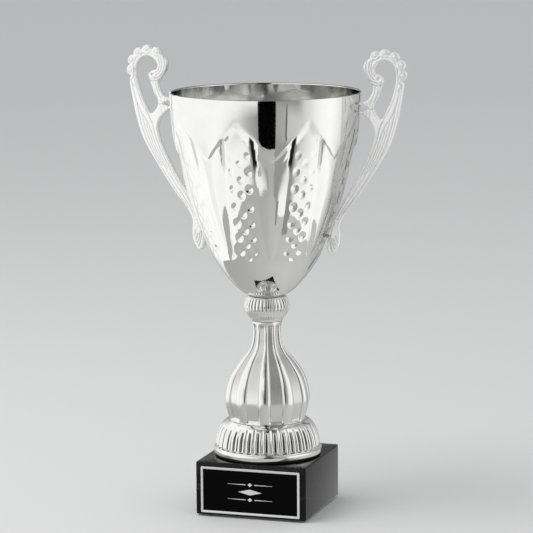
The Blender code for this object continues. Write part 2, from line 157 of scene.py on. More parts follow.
CLOUD_MM = 22.0
VEIN_BEND_MM = 30.0
VEIN_BEND_REACH = 0.03  # metres
VEIN_SPACING_MM = 34.0
VEIN_WIDTH = 0.016  # share of the spacing


def black_marble():
    """Polished black marble: near-black stone under a deep polish.

    The eye gets sharp dim reflections, a slightly lighter cloudy ground and a few hair-fine grey veins.
    """
    made, tree, shader = empty_material("polished_black_marble")
    place = add(tree, "ShaderNodeTexCoord").outputs["Object"]
    clouds = add(tree, "ShaderNodeTexNoise", {"Vector": place, "Scale": per_metre(CLOUD_MM), "Detail": 6.0})
    ground = ramp(tree, clouds.outputs["Fac"], [(0.3, "#070708"), (0.75, "#121214")])
    bend = add(tree, "ShaderNodeTexNoise", {"Vector": place, "Scale": per_metre(VEIN_BEND_MM), "Detail": 4.0})
    reach = {0: bend.outputs["Color"], "Scale": VEIN_BEND_REACH}
    shift = add(tree, "ShaderNodeVectorMath", reach, operation="SCALE")
    pushed = add(tree, "ShaderNodeVectorMath", {0: place, 1: shift.outputs["Vector"]}, operation="ADD")
    cells = add(
        tree,
        "ShaderNodeTexVoronoi",
        {"Vector": pushed.outputs["Vector"], "Scale": per_metre(VEIN_SPACING_MM)},
        feature="DISTANCE_TO_EDGE",
    )
    vein = add(
        tree,
        "ShaderNodeMapRange",
        {"Value": cells.outputs["Distance"], "From Max": VEIN_WIDTH, "To Min": 0.5, "To Max": 0.0},
    )
    both = {0: vein.outputs["Result"], 1: clouds.outputs["Fac"]}
    patchy = add(tree, "ShaderNodeMath", both, operation="MULTIPLY")
    mixed = add(tree, "ShaderNodeMix", {"Factor": patchy.outputs[0]}, data_type="RGBA")
    tree.links.new(ground, mixed.inputs["A"])
    mixed.inputs["B"].default_value = linear("#55565A")
    tree.links.new(mixed.outputs["Result"], shader.inputs["Base Color"])
    polish = add(tree, "ShaderNodeMapRange", {"Value": clouds.outputs["Fac"], "To Min": 0.04, "To Max": 0.12})
    tree.links.new(polish.outputs["Result"], shader.inputs["Roughness"])
    shader.inputs["IOR"].default_value = 1.49
    shader.inputs["Specular IOR Level"].default_value = 0.2
    return made


def speckled(name, dark, light, grain_mm, roughness, height_mm, metallic=0.0, ior=None, specular=None):
    """A plain finish with fine grain, for rubber, nylon, adhesive, zinc plate, solder and anodised sheet.

    The eye gets a slightly uneven colour and a small bump of the grain, which breaks up the highlights.
    """
    made, tree, shader = empty_material(name)
    place = add(tree, "ShaderNodeTexCoord").outputs["Object"]
    grain = add(tree, "ShaderNodeTexNoise", {"Vector": place, "Scale": per_metre(grain_mm), "Detail": 5.0})
    colour = ramp(tree, grain.outputs["Fac"], [(0.25, dark), (0.75, light)])
    tree.links.new(colour, shader.inputs["Base Color"])
    dull = add(
        tree,
        "ShaderNodeMapRange",
        {"Value": grain.outputs["Fac"], "To Min": roughness * 0.8, "To Max": roughness * 1.25},
    )
    tree.links.new(dull.outputs["Result"], shader.inputs["Roughness"])
    rise = {"Height": grain.outputs["Fac"], "Distance": height_mm * MM, "Strength": 1.0}
    bump = add(tree, "ShaderNodeBump", rise)
    tree.links.new(bump.outputs["Normal"], shader.inputs["Normal"])
    shader.inputs["Metallic"].default_value = metallic
    if ior is not None:
        shader.inputs["IOR"].default_value = ior
    if specular is not None:
        shader.inputs["Specular IOR Level"].default_value = specular
    return made


# Pressed sheet, mirror-polished: sharp reflections, near-black painted shade (a painted dark reflection) in
# the creases
MIRROR_SILVER = silver("mirror_silver_plate", "#F1F1F0", "#242423", 0.035, 0.5, 26.0, 0.02, 1.0)
# The bowl's inside: brushed rings from spinning, softer than the outside and greyer with painted shade
INSIDE_SILVER = silver("spun_silver_plate_inside", "#DADAD8", "#8C8B89", 0.13, 0.3, 9.0, 0.03, 1.0)
# The stem, polished by a soft wheel: broad smooth highlights, and painted shade on its panels and along its
# ribs
SOFT_SILVER = silver("soft_polished_silver_plate", "#EEEEED", "#858482", 0.21, 0.2, 7.0, 0.03)
# Collar and foot, cast and polished: bright ribs with dark lines between them, darkened by painted shade
CAST_SILVER = silver("polished_cast_silver_plate", "#F1F1F0", "#5C5B59", 0.08, 0.3, 8.0, 0.02)
# Handles, cast and left satin under a pale coat: near-white from every side, with grey painted shade in the
# engraving
SATIN_SILVER = silver("satin_cast_silver_plate", "#FAFAF9", "#8F8E8B", 0.4, 0.15, 3.0, 0.02, metallic=0.5)
# The nameplate's cut border and ornament: pale frosted metal
BORDER_SILVER = silver("bright_cut_plate_border", "#F6F6F6", "#B0B0B0", 0.5, 0.1, 2.0, 0.01)
# Polished stone: sharp dim reflections over near-black, with a few fine veins
STONE = black_marble()
# Dyed sheet: deep black with hardly any shine
ANODISED = speckled("black_anodised_sheet", "#020203", "#050506", 0.6, 0.3, 0.002, ior=1.5, specular=0.05)
# Bluish grey metal with a soft, slightly mottled shine
ZINC = speckled("zinc_plated_steel", "#9FA2A6", "#C3C6CA", 1.2, 0.3, 0.01, metallic=1.0)
# Matt black with a fine grain
RUBBER = speckled("black_rubber", "#0E0E0E", "#191919", 0.8, 0.75, 0.03, ior=1.52)
# Milky off-white with a dull shine
NYLON = speckled("natural_nylon", "#CFCDC4", "#DEDCD5", 3.0, 0.45, 0.01, ior=1.53)
# Yellowish grey film
ADHESIVE = speckled("acrylic_adhesive_film", "#BDBBB0", "#D0CEC6", 2.0, 0.5, 0.01, ior=1.47)
# Slightly warm, uneven bright metal
SOLDER = speckled("silver_solder", "#BDBBB6", "#DAD8D3", 0.7, 0.22, 0.03, metallic=1.0)


# ---------------------------------------------------------------- mesh helpers


def smooth_value(at, knots):
    """The cubic Hermite curve through (position, value) knots, with slopes from neighbouring knots."""
    place, value = np.array(sorted(knots), dtype=float).T
    slope = np.gradient(value, place)
    at = np.clip(at, place[0], place[-1])
    i = np.clip(np.searchsorted(place, at, side="right") - 1, 0, len(place) - 2)
    width = place[i + 1] - place[i]
    t = (at - place[i]) / width
    start = (1 + 2 * t) * (1 - t) ** 2 * value[i] + t * (1 - t) ** 2 * width * slope[i]
    return start + t * t * (3 - 2 * t) * value[i + 1] + t * t * (t - 1) * width * slope[i + 1]


def curve_through(points, count, closed=False):
    """Evenly spaced points on a smooth curve through the given ones: each coordinate over chord length."""
    points = np.array(points, dtype=float)
    if closed:
        points = np.vstack([points[-3:], points, points[:3]])
    chord = np.concatenate([[0.0], np.cumsum(np.linalg.norm(np.diff(points, axis=0), axis=1))])
    first, last = (chord[3], chord[-3]) if closed else (0.0, chord[-1])
    at = np.linspace(first, last, count, endpoint=not closed)
    return np.stack([smooth_value(at, list(zip(chord, column))) for column in points.T], axis=-1)


def step(low, high, value):
    """Smooth step from 0 at low to 1 at high."""
    t = np.clip((value - low) / (high - low), 0.0, 1.0)
    return t * t * (3 - 2 * t)


def around(radii, heights, angles):
    """Points at radii and heights, at angles in degrees round the cup."""
    turn = np.radians(angles)
    radii, heights, turn = np.broadcast_arrays(radii, heights, turn)
    return np.stack([radii * np.sin(turn), -radii * np.cos(turn), heights], axis=-1)


def piece(name, points, faces, materials, slot, nodes, recess=None, face_materials=None, sharp=180.0):
    """Put points in millimetres and faces into the scene as a named piece that stands for CAD nodes."""
    mesh = bpy.data.meshes.new(name)
    mesh.from_pydata((np.asarray(points).reshape(-1, 3) * MM).tolist(), [], faces)
    mesh.update()
    mesh.shade_smooth()
    if sharp < 180.0:
        mesh.set_sharp_from_angle(angle=math.radians(sharp))
    for material in materials:
        mesh.materials.append(material)
    if face_materials is not None:
        mesh.polygons.foreach_set("material_index", np.asarray(face_materials, dtype=np.int32))
    if recess is not None:
        layer = mesh.attributes.new("recess", "FLOAT", "POINT")
        layer.data.foreach_set("value", np.ravel(recess).astype(np.float32))
    made = bpy.data.objects.new(name, mesh)
    bpy.context.scene.collection.objects.link(made)
    if slot is not None:
        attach(made, "root")
    if nodes:
        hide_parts(*nodes)
    return made


def grid_faces(rows, columns, close_rows=True, flip=False):
    """Quads of a grid whose columns close round; rows close too if asked."""
    i = np.arange(rows if close_rows else rows - 1)[:, None]
    j = np.arange(columns)[None, :]
    below, above = i * columns, ((i + 1) % rows) * columns
    k = (j + 1) % columns
    quads = np.stack([below + j, below + k, above + k, above + j], axis=-1).reshape(-1, 4)
    return (quads[:, ::-1] if flip else quads).tolist()


# ---------------------------------------------------------------- bowl

UNITS = 8
UNIT = 360.0 / UNITS
HALF_UNIT = 0.5 * UNIT
PANEL_HALF = 9.75  # degrees
WALL = 1.2
HOLE = 3.5
BOWL_FLOOR = 160.2
FLOOR_RING = 8.0
RELIEF_END = 188.0
BAND_TOP = 307.9
LIP_CENTRE = (69.15, 308.15)  # (radius, height) of the rolled lip's section
LIP_RADIUS = 0.85
# Rows of the grid over the relief, the turned-in edge and the band
OUTSIDE_ROWS = (114, 9, 8)
INSIDE_ROWS = (24, 4, 4)

# (height, radius) of the smooth band, of the ridges along the petals and of the panels between them
BAND = [(262.0, 63.8), (266.0, 64.9), (270.0, 65.9), (273.0, 66.6), (275.5, 67.1), (280.0, 67.65)]
BAND += [(284.0, 68.1), (291.7, 68.9), (300.0, 69.5), (309.0, 70.0)]
LOWER = [(175.0, 30.2), (182.0, 35.2)]
RIDGE = LOWER + [(188.0, 38.8), (196.2, 42.8), (205.8, 46.9), (215.0, 50.6), (225.0, 54.1)]
RIDGE += [(236.8, 57.7), (245.6, 59.8), (254.4, 61.6), (263.0, 63.3), (271.0, 65.1), (276.0, 66.4)]
RIDGE += [(281.0, 67.4), (286.0, 68.0), (291.0, 68.6)]
PANEL = LOWER + [(188.0, 38.8), (196.2, 42.2), (205.0, 45.8), (215.0, 49.2), (225.0, 52.6)]
PANEL += [(236.8, 56.0), (245.6, 58.2), (254.4, 60.2), (263.0, 62.4), (276.0, 65.5), (285.0, 67.2)]
PANEL += [(289.0, 67.8)]
# (radius, height) of the underside
UNDERSIDE = [(13.4, BOWL_FLOOR), (15.6, 160.9), (19.5, 163.5), (24.7, 168.5), (30.2, 175.0), (35.2, 182.0)]
UNDERSIDE += [(38.8, RELIEF_END)]
# (height, half width) of a petal and of its crest
PETAL = [(188.0, 0.0), (191.0, 2.1), (207.0, 6.6), (223.5, 9.5), (247.6, 12.0), (262.0, 14.3), (280.0, 17.0)]
CREST = [(188.0, 0.0), (196.0, 0.8), (205.0, 1.6), (215.0, 2.3), (230.0, 2.8), (257.0, 3.1), (264.0, 4.2)]
CREST += [(277.0, 7.5), (290.0, 10.0)]
CREST_SOFTNESS = 0.012
PETAL_EDGE_SOFTNESS = 0.006

# Heights of the dents in a panel's middle column and in its side columns, and (height, depth) of a dent
DENTS_MIDDLE = [263.0, 251.0, 240.0, 226.0, 214.0, 203.0, 192.5]
DENTS_SIDE = [281.0, 269.0, 257.0, 244.5, 231.0, 219.0, 208.0, 197.5]
DENT_DEPTH = [(186.0, 0.6), (200.0, 0.85), (230.0, 0.8), (245.0, 0.65), (257.0, 0.38), (270.0, 0.2)]
DENT_DEPTH += [(284.0, 0.12)]
DENT_HALF_WIDTH = 2.75
DENT_HALF_HEIGHT = 3.2
DENT_POWER = 1.3
DENT_COLUMN = 4.9  # from the middle column to a side column, low down
DENT_COLUMN_SPREAD = 1.6

CREASE_FROM_EDGE = 1.3
CREASE_LEAN = 0.235  # how steeply a crease falls away from its panel
CREASE_TOP = (250.0, 266.0)  # heights over which a crease opens to its full width
# Painted shade in the creases, standing in for a dark reflection: the heights over which it comes in, and its
# share
CREASE_SHADE_TOP = (252.0, 264.0)
CREASE_SHADE_ELSEWHERE = 0.3  # on every petal but the front one
# Painted shade, and dullness, over the bowl's inside
INSIDE_SHADE_AND_DULLNESS = 0.2
VALLEY_HEIGHT = 265.2
ARCH_RISE = 1.38  # millimetres a degree
ARCH_ROUNDING = 1.2  # degrees
LIP_HEIGHT = 3.4
SHOULDER_HEIGHT = 5.5
V_POINT = 255.5
V_RISE = 1.55  # millimetres a degree
V_SOFTNESS = 3.0
RIDGE_TO_PANEL = (9.0, 12.0)  # degrees from a petal's middle
PANEL_COLUMNS, PETAL_COLUMNS = 30, 34


def arch_height(from_panel):
    """Height of the band's lower edge: straight arms between the panels' peaks and the petals' valleys.

    Peaks and valleys are hyperbolas, so both are rounded over about a degree.
    """
    off = HALF_UNIT - np.hypot(from_panel, ARCH_ROUNDING)
    return VALLEY_HEIGHT + ARCH_RISE * np.hypot(off, ARCH_ROUNDING)


def bevel_height(from_panel):
    """Height of the turned-in edge below the arch: a narrow lip at each valley, a soft shoulder at peaks."""
    off = HALF_UNIT - from_panel
    return LIP_HEIGHT + 0.8 * step(0.0, 3.0, off) + SHOULDER_HEIGHT * step(11.0, 15.0, off)


def crease_width(heights):
    """Width of the crease at a petal's edge: a fine line that opens to three millimetres at the top."""
    return 0.8 + 2.3 * step(*CREASE_TOP, heights)


def crease_share(across, half, heights):
    """0 at a petal's edge, rising evenly to 1 over the crease's width, then back to 0 in a steep step."""
    wide = crease_width(heights)
    fall = np.clip((half + 0.3 - across) / wide, 0.0, 1.0)
    return fall * step(half - wide - 0.5, half - wide + 0.4, across)


def crease_painted_shade(signed, angles, heights, arch):
    """How much painted shade darkens the creases, standing in for their dark reflection: none low down, most
    in their top corners.

    The front petal has all of it, the others a third.
    """
    across = np.radians(HALF_UNIT - np.abs(signed)) * smooth_value(heights, PANEL)
    share = crease_share(across, smooth_value(heights, PETAL), heights)
    below_edge = step(arch - 0.8, arch - 2.4, heights)
    from_front = np.abs((angles - HALF_UNIT + 180.0) % 360.0 - 180.0)
    left_over = CREASE_SHADE_ELSEWHERE + (1.0 - CREASE_SHADE_ELSEWHERE) * step(30.0, 16.0, from_front)
    return left_over * step(0.03, 0.35, share) * step(*CREASE_SHADE_TOP, heights) * below_edge


def relief_radius(signed, heights, dented):
    """Radius below the arch: panel cone, plus a petal whose crest and sloping sides stand out of it.

    A petal is 1 on its crest and falls in a straight slope to 0 at its edge, where a crease is pressed in: it
    falls evenly away from the panel and ends in a steep little step.
    Dents are round cups, (1 - d^2)^1.3 deep, in three staggered columns down each panel.
    """
    panel = smooth_value(heights, PANEL)
    ridge = smooth_value(heights, RIDGE)
    across = np.radians(HALF_UNIT - np.abs(signed)) * panel
    half = smooth_value(heights, PETAL)
    crest = np.minimum(smooth_value(heights, CREST), half * 0.93)
    slope = (half - CREASE_FROM_EDGE - across) / np.maximum(half - CREASE_FROM_EDGE - crest, 0.35)
    rise = 0.5 * (1.0 + slope - np.sqrt((1.0 - slope) ** 2 + CREST_SOFTNESS))
    rise = 0.5 * (rise + np.sqrt(rise**2 + PETAL_EDGE_SOFTNESS))
    strength = step(RELIEF_END, RELIEF_END + 9.0, heights)
    lean = CREASE_LEAN * (0.55 + 0.45 * step(*CREASE_TOP, heights))
    depth = lean * crease_width(heights) * strength
    radius = panel + (ridge - panel) * rise - depth * crease_share(across, half, heights)
    if dented:
        along = np.radians(signed) * panel
        side = DENT_COLUMN + DENT_COLUMN_SPREAD * step(195.0, 265.0, heights)
        deep = smooth_value(heights, DENT_DEPTH)
        grown = 1.0 + 0.1 * step(250.0, 225.0, heights)
        for levels, places in ((DENTS_MIDDLE, (0.0,)), (DENTS_SIDE, (-1.0, 1.0))):
            for level in levels:
                for sign in places:
                    shift = (along - sign * side) / (DENT_HALF_WIDTH * grown)
                    reach = shift**2 + ((heights - level) / (DENT_HALF_HEIGHT * grown)) ** 2
                    radius = radius - deep * np.clip(1.0 - reach, 0.0, None) ** DENT_POWER
    return radius


def bowl_radius(signed, heights, dented):
    """The bowl's outer radius: smooth band above the arch, a turned-in edge below it, then the relief.

    Down the edge the radius follows a smooth step. Above a V-shaped line each petal is round and undercut;
    its flat facets start below that line.
    """
    from_panel = np.abs(signed)
    off = HALF_UNIT - from_panel
    arch = arch_height(from_panel)
    down = np.clip((arch - heights) / bevel_height(from_panel), 0.0, 1.0)
    share = 0.3 * (1.0 - (1.0 - down) ** 1.6) + 0.7 * step(0.0, 1.0, down)
    band = smooth_value(heights, BAND)
    to_panel = step(*RIDGE_TO_PANEL, off)
    aim = smooth_value(heights, RIDGE) * (1.0 - to_panel) + smooth_value(heights, PANEL) * to_panel
    v_line = V_POINT + V_RISE * off
    faceted = step(v_line + V_SOFTNESS, v_line - V_SOFTNESS, heights) * (1.0 - to_panel)
    faceted = faceted + step(0.3, 1.0, down) * to_panel
    facets = (relief_radius(signed, heights, dented) - aim) * faceted
    turned = band + (np.minimum(aim + facets, band) - band) * share
    return np.where(heights >= arch, band, turned)


def bowl():
    """The bowl: a grid whose columns crowd where the dents are and whose rows follow the arches.

    Rows run from the hole in the floor up the outside, over the rolled lip and down the inside.
    """
    panel_part = np.linspace(-PANEL_HALF, PANEL_HALF, PANEL_COLUMNS, endpoint=False)
    petal_part = np.linspace(PANEL_HALF, UNIT - PANEL_HALF, PETAL_COLUMNS, endpoint=False)
    unit = np.concatenate([panel_part, petal_part])
    signed = np.concatenate([panel_part, np.where(petal_part < HALF_UNIT, petal_part, petal_part - UNIT)])
    angles = np.concatenate([unit + UNIT * k for k in range(UNITS)])
    signed = np.tile(signed, UNITS)
    from_panel = np.abs(signed)
    arch = arch_height(from_panel)
    bottom = arch - bevel_height(from_panel)

    def skin(rows, dented):
        """Radii and heights of rows over the relief, the turned-in edge and the band."""
        parts = []
        for count, low, high in zip(rows, (RELIEF_END, bottom, arch), (bottom, arch, BAND_TOP)):
            share = np.arange(1, count + 1)[:, None] / count
            parts.append(low + (high - low) * share)
        heights = np.vstack(parts)
        return bowl_radius(signed[None, :], heights, dented), heights

    under = curve_through(UNDERSIDE, 15)
    rings = [around(HOLE, BOWL_FLOOR, angles), around(FLOOR_RING, BOWL_FLOOR, angles)]
    rings += [around(r, z, angles) for r, z in under]
    radii, heights = skin(OUTSIDE_ROWS, True)
    skin_start = len(rings)
    rings += list(around(radii, heights, angles[None, :]))
    for turn in np.radians([20.0, 55.0, 90.0, 125.0, 165.0, 200.0]):
        out, up = LIP_RADIUS * math.cos(turn), LIP_RADIUS * math.sin(turn)
        rings.append(around(LIP_CENTRE[0] + out, LIP_CENTRE[1] + up, angles))
    lip_end = len(rings)
    inside_radii, inside_heights = skin(INSIDE_ROWS, False)
    above, below = (bowl_radius(signed[None, :], inside_heights + up, False) for up in (0.5, -0.5))
    lean = np.clip(above - below, 0.0, 0.8)
    inside_radii = inside_radii - WALL * np.sqrt(1.0 + lean**2)
    rings += list(around(inside_radii, inside_heights, angles[None, :]))[::-1][1:]
    along = np.gradient(under, axis=0)
    along /= np.linalg.norm(along, axis=1)[:, None]
    inner = under + WALL * np.stack([-along[:, 1], along[:, 0]], axis=-1)
    rings += [around(r, z, angles) for r, z in inner[::-2]]
    rings += [around(radius, BOWL_FLOOR + WALL, angles) for radius in (FLOOR_RING, HOLE)]
    points = np.array(rings)
    recess = np.zeros(points.shape[:2])
    # Painted shade and dullness over the inside
    recess[lip_end + 3 :] = INSIDE_SHADE_AND_DULLNESS
    # Painted shade, a painted dark reflection, in the creases' top corners
    crease_shade = crease_painted_shade(signed[None, :], angles[None, :], heights, arch)
    recess[skin_start : skin_start + len(heights)] = crease_shade
    inner_faces = np.repeat(np.arange(len(rings)) >= lip_end, len(angles))
    return piece(
        "bowl_shell",
        points,
        grid_faces(len(rings), len(angles)),
        [MIRROR_SILVER, INSIDE_SILVER],
        "silver_plate",
        ["bowl"],
        recess=recess,
        face_materials=inner_faces,
        sharp=60.0,
    )


bowl()


# ---------------------------------------------------------------- stem, collar and foot


def ribbed(name, outside, lining, columns, ripple, node, material):
    """A turned shell whose outside ripples: ripple(angle, radius, height) gives the radius and the recess.

    The outline runs up the outside and down the plain lining, and closes on itself.
    """
    angles = np.arange(columns)[None, :] * 360.0 / columns
    outside, lining = np.array(outside, dtype=float), np.array(lining, dtype=float)
    radii, recess = ripple(angles, outside[:, :1], outside[:, 1:])
    radii = np.vstack([radii, np.tile(lining[:, :1], columns)])
    recess = np.vstack([recess, np.zeros((len(lining), columns))])
    heights = np.concatenate([outside, lining])[:, 1:]
    points = around(radii, heights, angles)
    faces = grid_faces(len(heights), columns)
    return piece(name, points, faces, [material], "silver_plate", [node], recess=recess, sharp=50.0)


def from_nearest(angles, count, first):
    """Signed angle from the nearest of count equal places, the first of them at the angle first."""
    pitch = 360.0 / count
    return (angles - first + 0.5 * pitch) % pitch - 0.5 * pitch


STEM_OUTSIDE = [(28.4, 67.0), (30.7, 75.4), (31.8, 83.5), (30.9, 89.8), (27.6, 99.9), (21.2, 109.6)]
STEM_OUTSIDE += [(14.6, 117.5), (12.4, 121.3), (10.5, 131.4), (11.2, 140.3)]
STEM_INSIDE = [(HOLE, 140.3), (HOLE, 136.5), (7.0, 136.5), (7.6, 121.3), (16.0, 108.6), (24.0, 98.0)]
STEM_INSIDE += [(27.0, 84.0), (25.8, 67.0)]
FLUTES = 10
FIRST_RIB = 13.3
RIB_HALF = 8.9  # degrees
FLUTED = ((66.0, 70.0), (139.6, 136.0))  # heights over which the flutes begin and end


def stem():
    """Ten round ribs, half-ellipses in section, standing between ten flat panels.

    The flutes fade out in the plain ring under the collar and at the hollow bottom edge. The panels are
    duller than the ribs and carry painted shade, more so in their upper half.
    """
    outside = curve_through(STEM_OUTSIDE, 120)
    panel_middle = 180.0 / FLUTES

    def ripple(angles, radii, heights):
        """Ribs over the fluted heights, and duller panels under painted shade between them."""
        off = np.abs(from_nearest(angles, FLUTES, FIRST_RIB))
        shape = np.sqrt(np.clip(1.0 - (off / RIB_HALF) ** 2, 0.0, 1.0))
        depth = (0.6 + 0.055 * radii) * step(*FLUTED[0], heights) * step(*FLUTED[1], heights)
        low = radii - depth
        from_middle = np.radians(np.minimum(panel_middle - off, 9.5))
        panel = low * math.cos(math.radians(panel_middle - RIB_HALF)) / np.cos(from_middle)
        rippled = np.where(off < RIB_HALF, low + depth * shape, panel)
        blend = np.clip(depth, 0.0, 1.0)
        rippled = radii * (1 - blend) + rippled * blend
        # Painted shade: over the panels, stronger from mid-height up, and in a line where each rib meets a
        # panel
        duller = (0.1 + 0.32 * step(86.0, 102.0, heights)) * step(RIB_HALF, RIB_HALF + 2.0, off)
        crease = (0.3 * np.exp(-(((off - RIB_HALF) / 0.7) ** 2)) + duller) * np.clip(depth, 0.0, 1.0)
        return rippled, crease

    return ribbed("fluted_stem", outside, STEM_INSIDE, 480, ripple, "stem", SOFT_SILVER)


stem()

COLLAR_OUTSIDE = [(11.4, 140.6), (11.9, 141.6), (12.6, 143.0), (13.3, 143.3), (13.9, 144.0), (15.9, 147.8)]
COLLAR_OUTSIDE += [(16.9, 151.9), (16.4, 154.6), (15.3, 156.8), (14.6, 158.0), (13.4, 158.8)]
COLLAR_BORE = [(HOLE, 158.8), (HOLE, 140.6)]
COLLAR_RIBS = 36
COLLAR_VALLEY = 7.0
COLLAR_BEADS = 143.9  # height of the beaded edge


def collar():
    """Thirty-six upright ribs round a small knop, over a beaded edge and a plain ring.

    A rib is round-topped: the valley between two of them is a narrow bell curve.
    """
    outside = curve_through(COLLAR_OUTSIDE, 62)

    def ripple(angles, radii, heights):
        """Two rows of valleys over a row of beads, with painted shade in the upper valleys."""
        off = from_nearest(angles, COLLAR_RIBS, COLLAR_VALLEY)
        valley = np.exp(-((off / 1.55) ** 2))
        upper = 0.8 * step(147.6, 149.6, heights) * step(158.6, 157.2, heights)
        lower = 0.3 * step(144.2, 145.6, heights) * step(149.0, 147.6, heights)
        between = np.cos(np.radians(off * COLLAR_RIBS / 2.0)) ** 2
        bead = 0.4 * np.exp(-(((heights - COLLAR_BEADS) / 0.45) ** 2)) * between
        # The recess is painted shade in the upper valleys
        return radii - (upper + lower) * valley - bead, 0.7 * upper * valley

    return ribbed("ribbed_collar", outside, COLLAR_BORE, 576, ripple, "collar", CAST_SILVER)


collar()

FOOT_RIM = [(38.9, 41.8), (39.5, 41.9), (39.85, 42.4), (39.9, 43.0), (39.9, 44.5), (39.9, 45.4)]
FOOT_RIM += [(39.8, 45.8), (39.5, 46.15), (39.1, 46.4), (38.75, 46.6)]
FOOT_CUSHION = [(38.7, 47.0), (37.8, 53.1), (35.4, 60.4), (32.4, 64.6), (29.6, 66.7)]
FOOT_INSIDE = [(HOLE, 66.7), (HOLE, 64.7), (27.4, 64.7), (32.0, 59.6), (34.6, 52.6), (35.8, 44.5)]
FOOT_INSIDE += [(34.0, 41.8)]
FOOT_LOBES = 36
FOOT_VALLEY = 6.5
LOBE_TOP, LOBE_BOTTOM = 64.6, 49.4  # heights of the points and of the scallops' upper ends


def foot():
    """Thirty-six lobes down a cushion, split by finer grooves, between a plain shoulder and a plain rim.

    A lobe's halves are half-ellipses in section. Lobes end in points under the shoulder and in round scallops
    above a ledge of the rim.
    """
    outside = np.vstack([FOOT_RIM, curve_through(FOOT_CUSHION, 78)])
    half_lobe = 180.0 / FOOT_LOBES

    def ripple(angles, radii, heights):
        """Lobes within their scalloped ends, with painted shade in the valleys between them and on the ledge.
        """
        off = from_nearest(angles, FOOT_LOBES, FOOT_VALLEY)
        middle = np.abs(off) / half_lobe
        top = LOBE_TOP - 2.4 * (1.0 - middle) ** 1.5
        bottom = LOBE_BOTTOM - 1.9 * np.sqrt(np.clip(1.0 - (1.0 - middle) ** 2, 0.0, 1.0))
        within = step(top + 0.3, top - 1.2, heights) * step(bottom - 0.4, bottom + 0.6, heights)
        main = np.exp(-((off / 1.25) ** 2))
        minor = np.exp(-(((np.abs(off) - half_lobe) / 0.8) ** 2))
        puff = np.sqrt(np.clip(1.0 - (2.0 * middle - 1.0) ** 2, 0.0, 1.0))
        swell = 0.75 + 0.5 * step(62.0, 50.0, heights)
        ledge = 1.5 * step(46.9, 47.5, heights) * step(bottom + 0.6, bottom - 0.4, heights)
        fall = within * swell * (0.8 * main + 0.2 * minor + 0.95 * (1.0 - puff)) + ledge
        # The recess is painted shade in the valleys between lobes and on the ledge under the scallops
        recess = within * (0.95 * main + 0.12 * minor) + 0.35 * ledge * (1.0 - middle)
        return radii - fall, np.clip(recess, 0.0, 1.0)

    return ribbed("ribbed_foot", outside, FOOT_INSIDE, 864, ripple, "foot", CAST_SILVER)


foot()


# ---------------------------------------------------------------- handles

SCROLL_CENTRE = np.array([89.8, 324.4])
SCROLL_RADIUS = 17.04
BEADS = 5
FIRST_BEAD = -7.0
BEAD_STEP = 31.5
BEAD_DEPTH = 2.4
SCROLL_LOW = FIRST_BEAD - 0.5 * BEAD_STEP
SCROLL_HIGH = SCROLL_LOW + BEADS * BEAD_STEP
# Distances from the scroll's centre
RIBBON_RADIUS = 11.9
BOSS_RADIUS = 14.1
ARM_OUTSIDE = [(104.1, 316.5), (103.6, 310), (102.3, 302.2), (99.1, 287.1), (93.8, 271.6)]
ARM_OUTSIDE += [(85.0, 256.2), (76.6, 243.1), (67.3, 230.0), (60.4, 221.3), (56.3, 212.4)]
TIP = [(56.7, 205), (55.3, 196.5), (50.6, 190.7), (47.2, 194.5), (46.8, 199.5), (49.2, 207)]
ARM_INSIDE = [(51.0, 212.6), (53.8, 221.6), (58.2, 230.4), (64.1, 239.1), (69.6, 247.8), (74.1, 256.5)]
ARM_INSIDE += [(78.3, 265.3), (81.5, 274), (82.6, 280.5), (80.8, 287), (76.8, 291.5)]
FORK = [(73.6, 294.0), (70.9, 295.0), (70.9, 296.6), (74.6, 297.0), (78.0, 298.4), (74.6, 300.2)]
FORK += [(70.9, 301.0), (70.9, 302.6), (74.0, 303.0)]
NECK = [(77.8, 304.8), (80.6, 309), (81.4, 314.4), (80.1, 316.8), (77.0, 320.5), (74.9, 325)]
NECK += [(74.6, 329.5), (77.0, 333.0)]
LOOP = [(90.3, 333.4), (95.5, 331.2), (98.4, 325.8), (98.7, 320), (98.1, 315.4), (95.3, 305.5)]
LOOP += [(91.9, 297.7), (87.7, 291.2), (83.9, 294.5), (82.3, 299.6), (85.7, 307), (88.2, 314.7)]
LOOP += [(89.5, 319.9), (87.0, 322.5), (83.5, 323.6), (82.5, 326.1), (85.3, 331.2)]
HALF_THICKNESS = 2.6
EDGE_ROUND = 1.5
CURL_EYE = (86.0, 320.0)
# Distances of the rows of points inside the handle's edges, then the grid's pitch and its least distance
EDGE_ROWS = (0.14, 0.42, 0.85, 1.35)
GRID_PITCH = 0.52
GRID_MARGIN = 1.6

# A long line beside the open loop
RIM_LINE = [(99.9, 326.0), (100.5, 320.5), (99.8, 315.0), (97.0, 305.0), (93.5, 296.8), (89.4, 289.6)]
RIM_LINE += [(86.6, 283.5)]
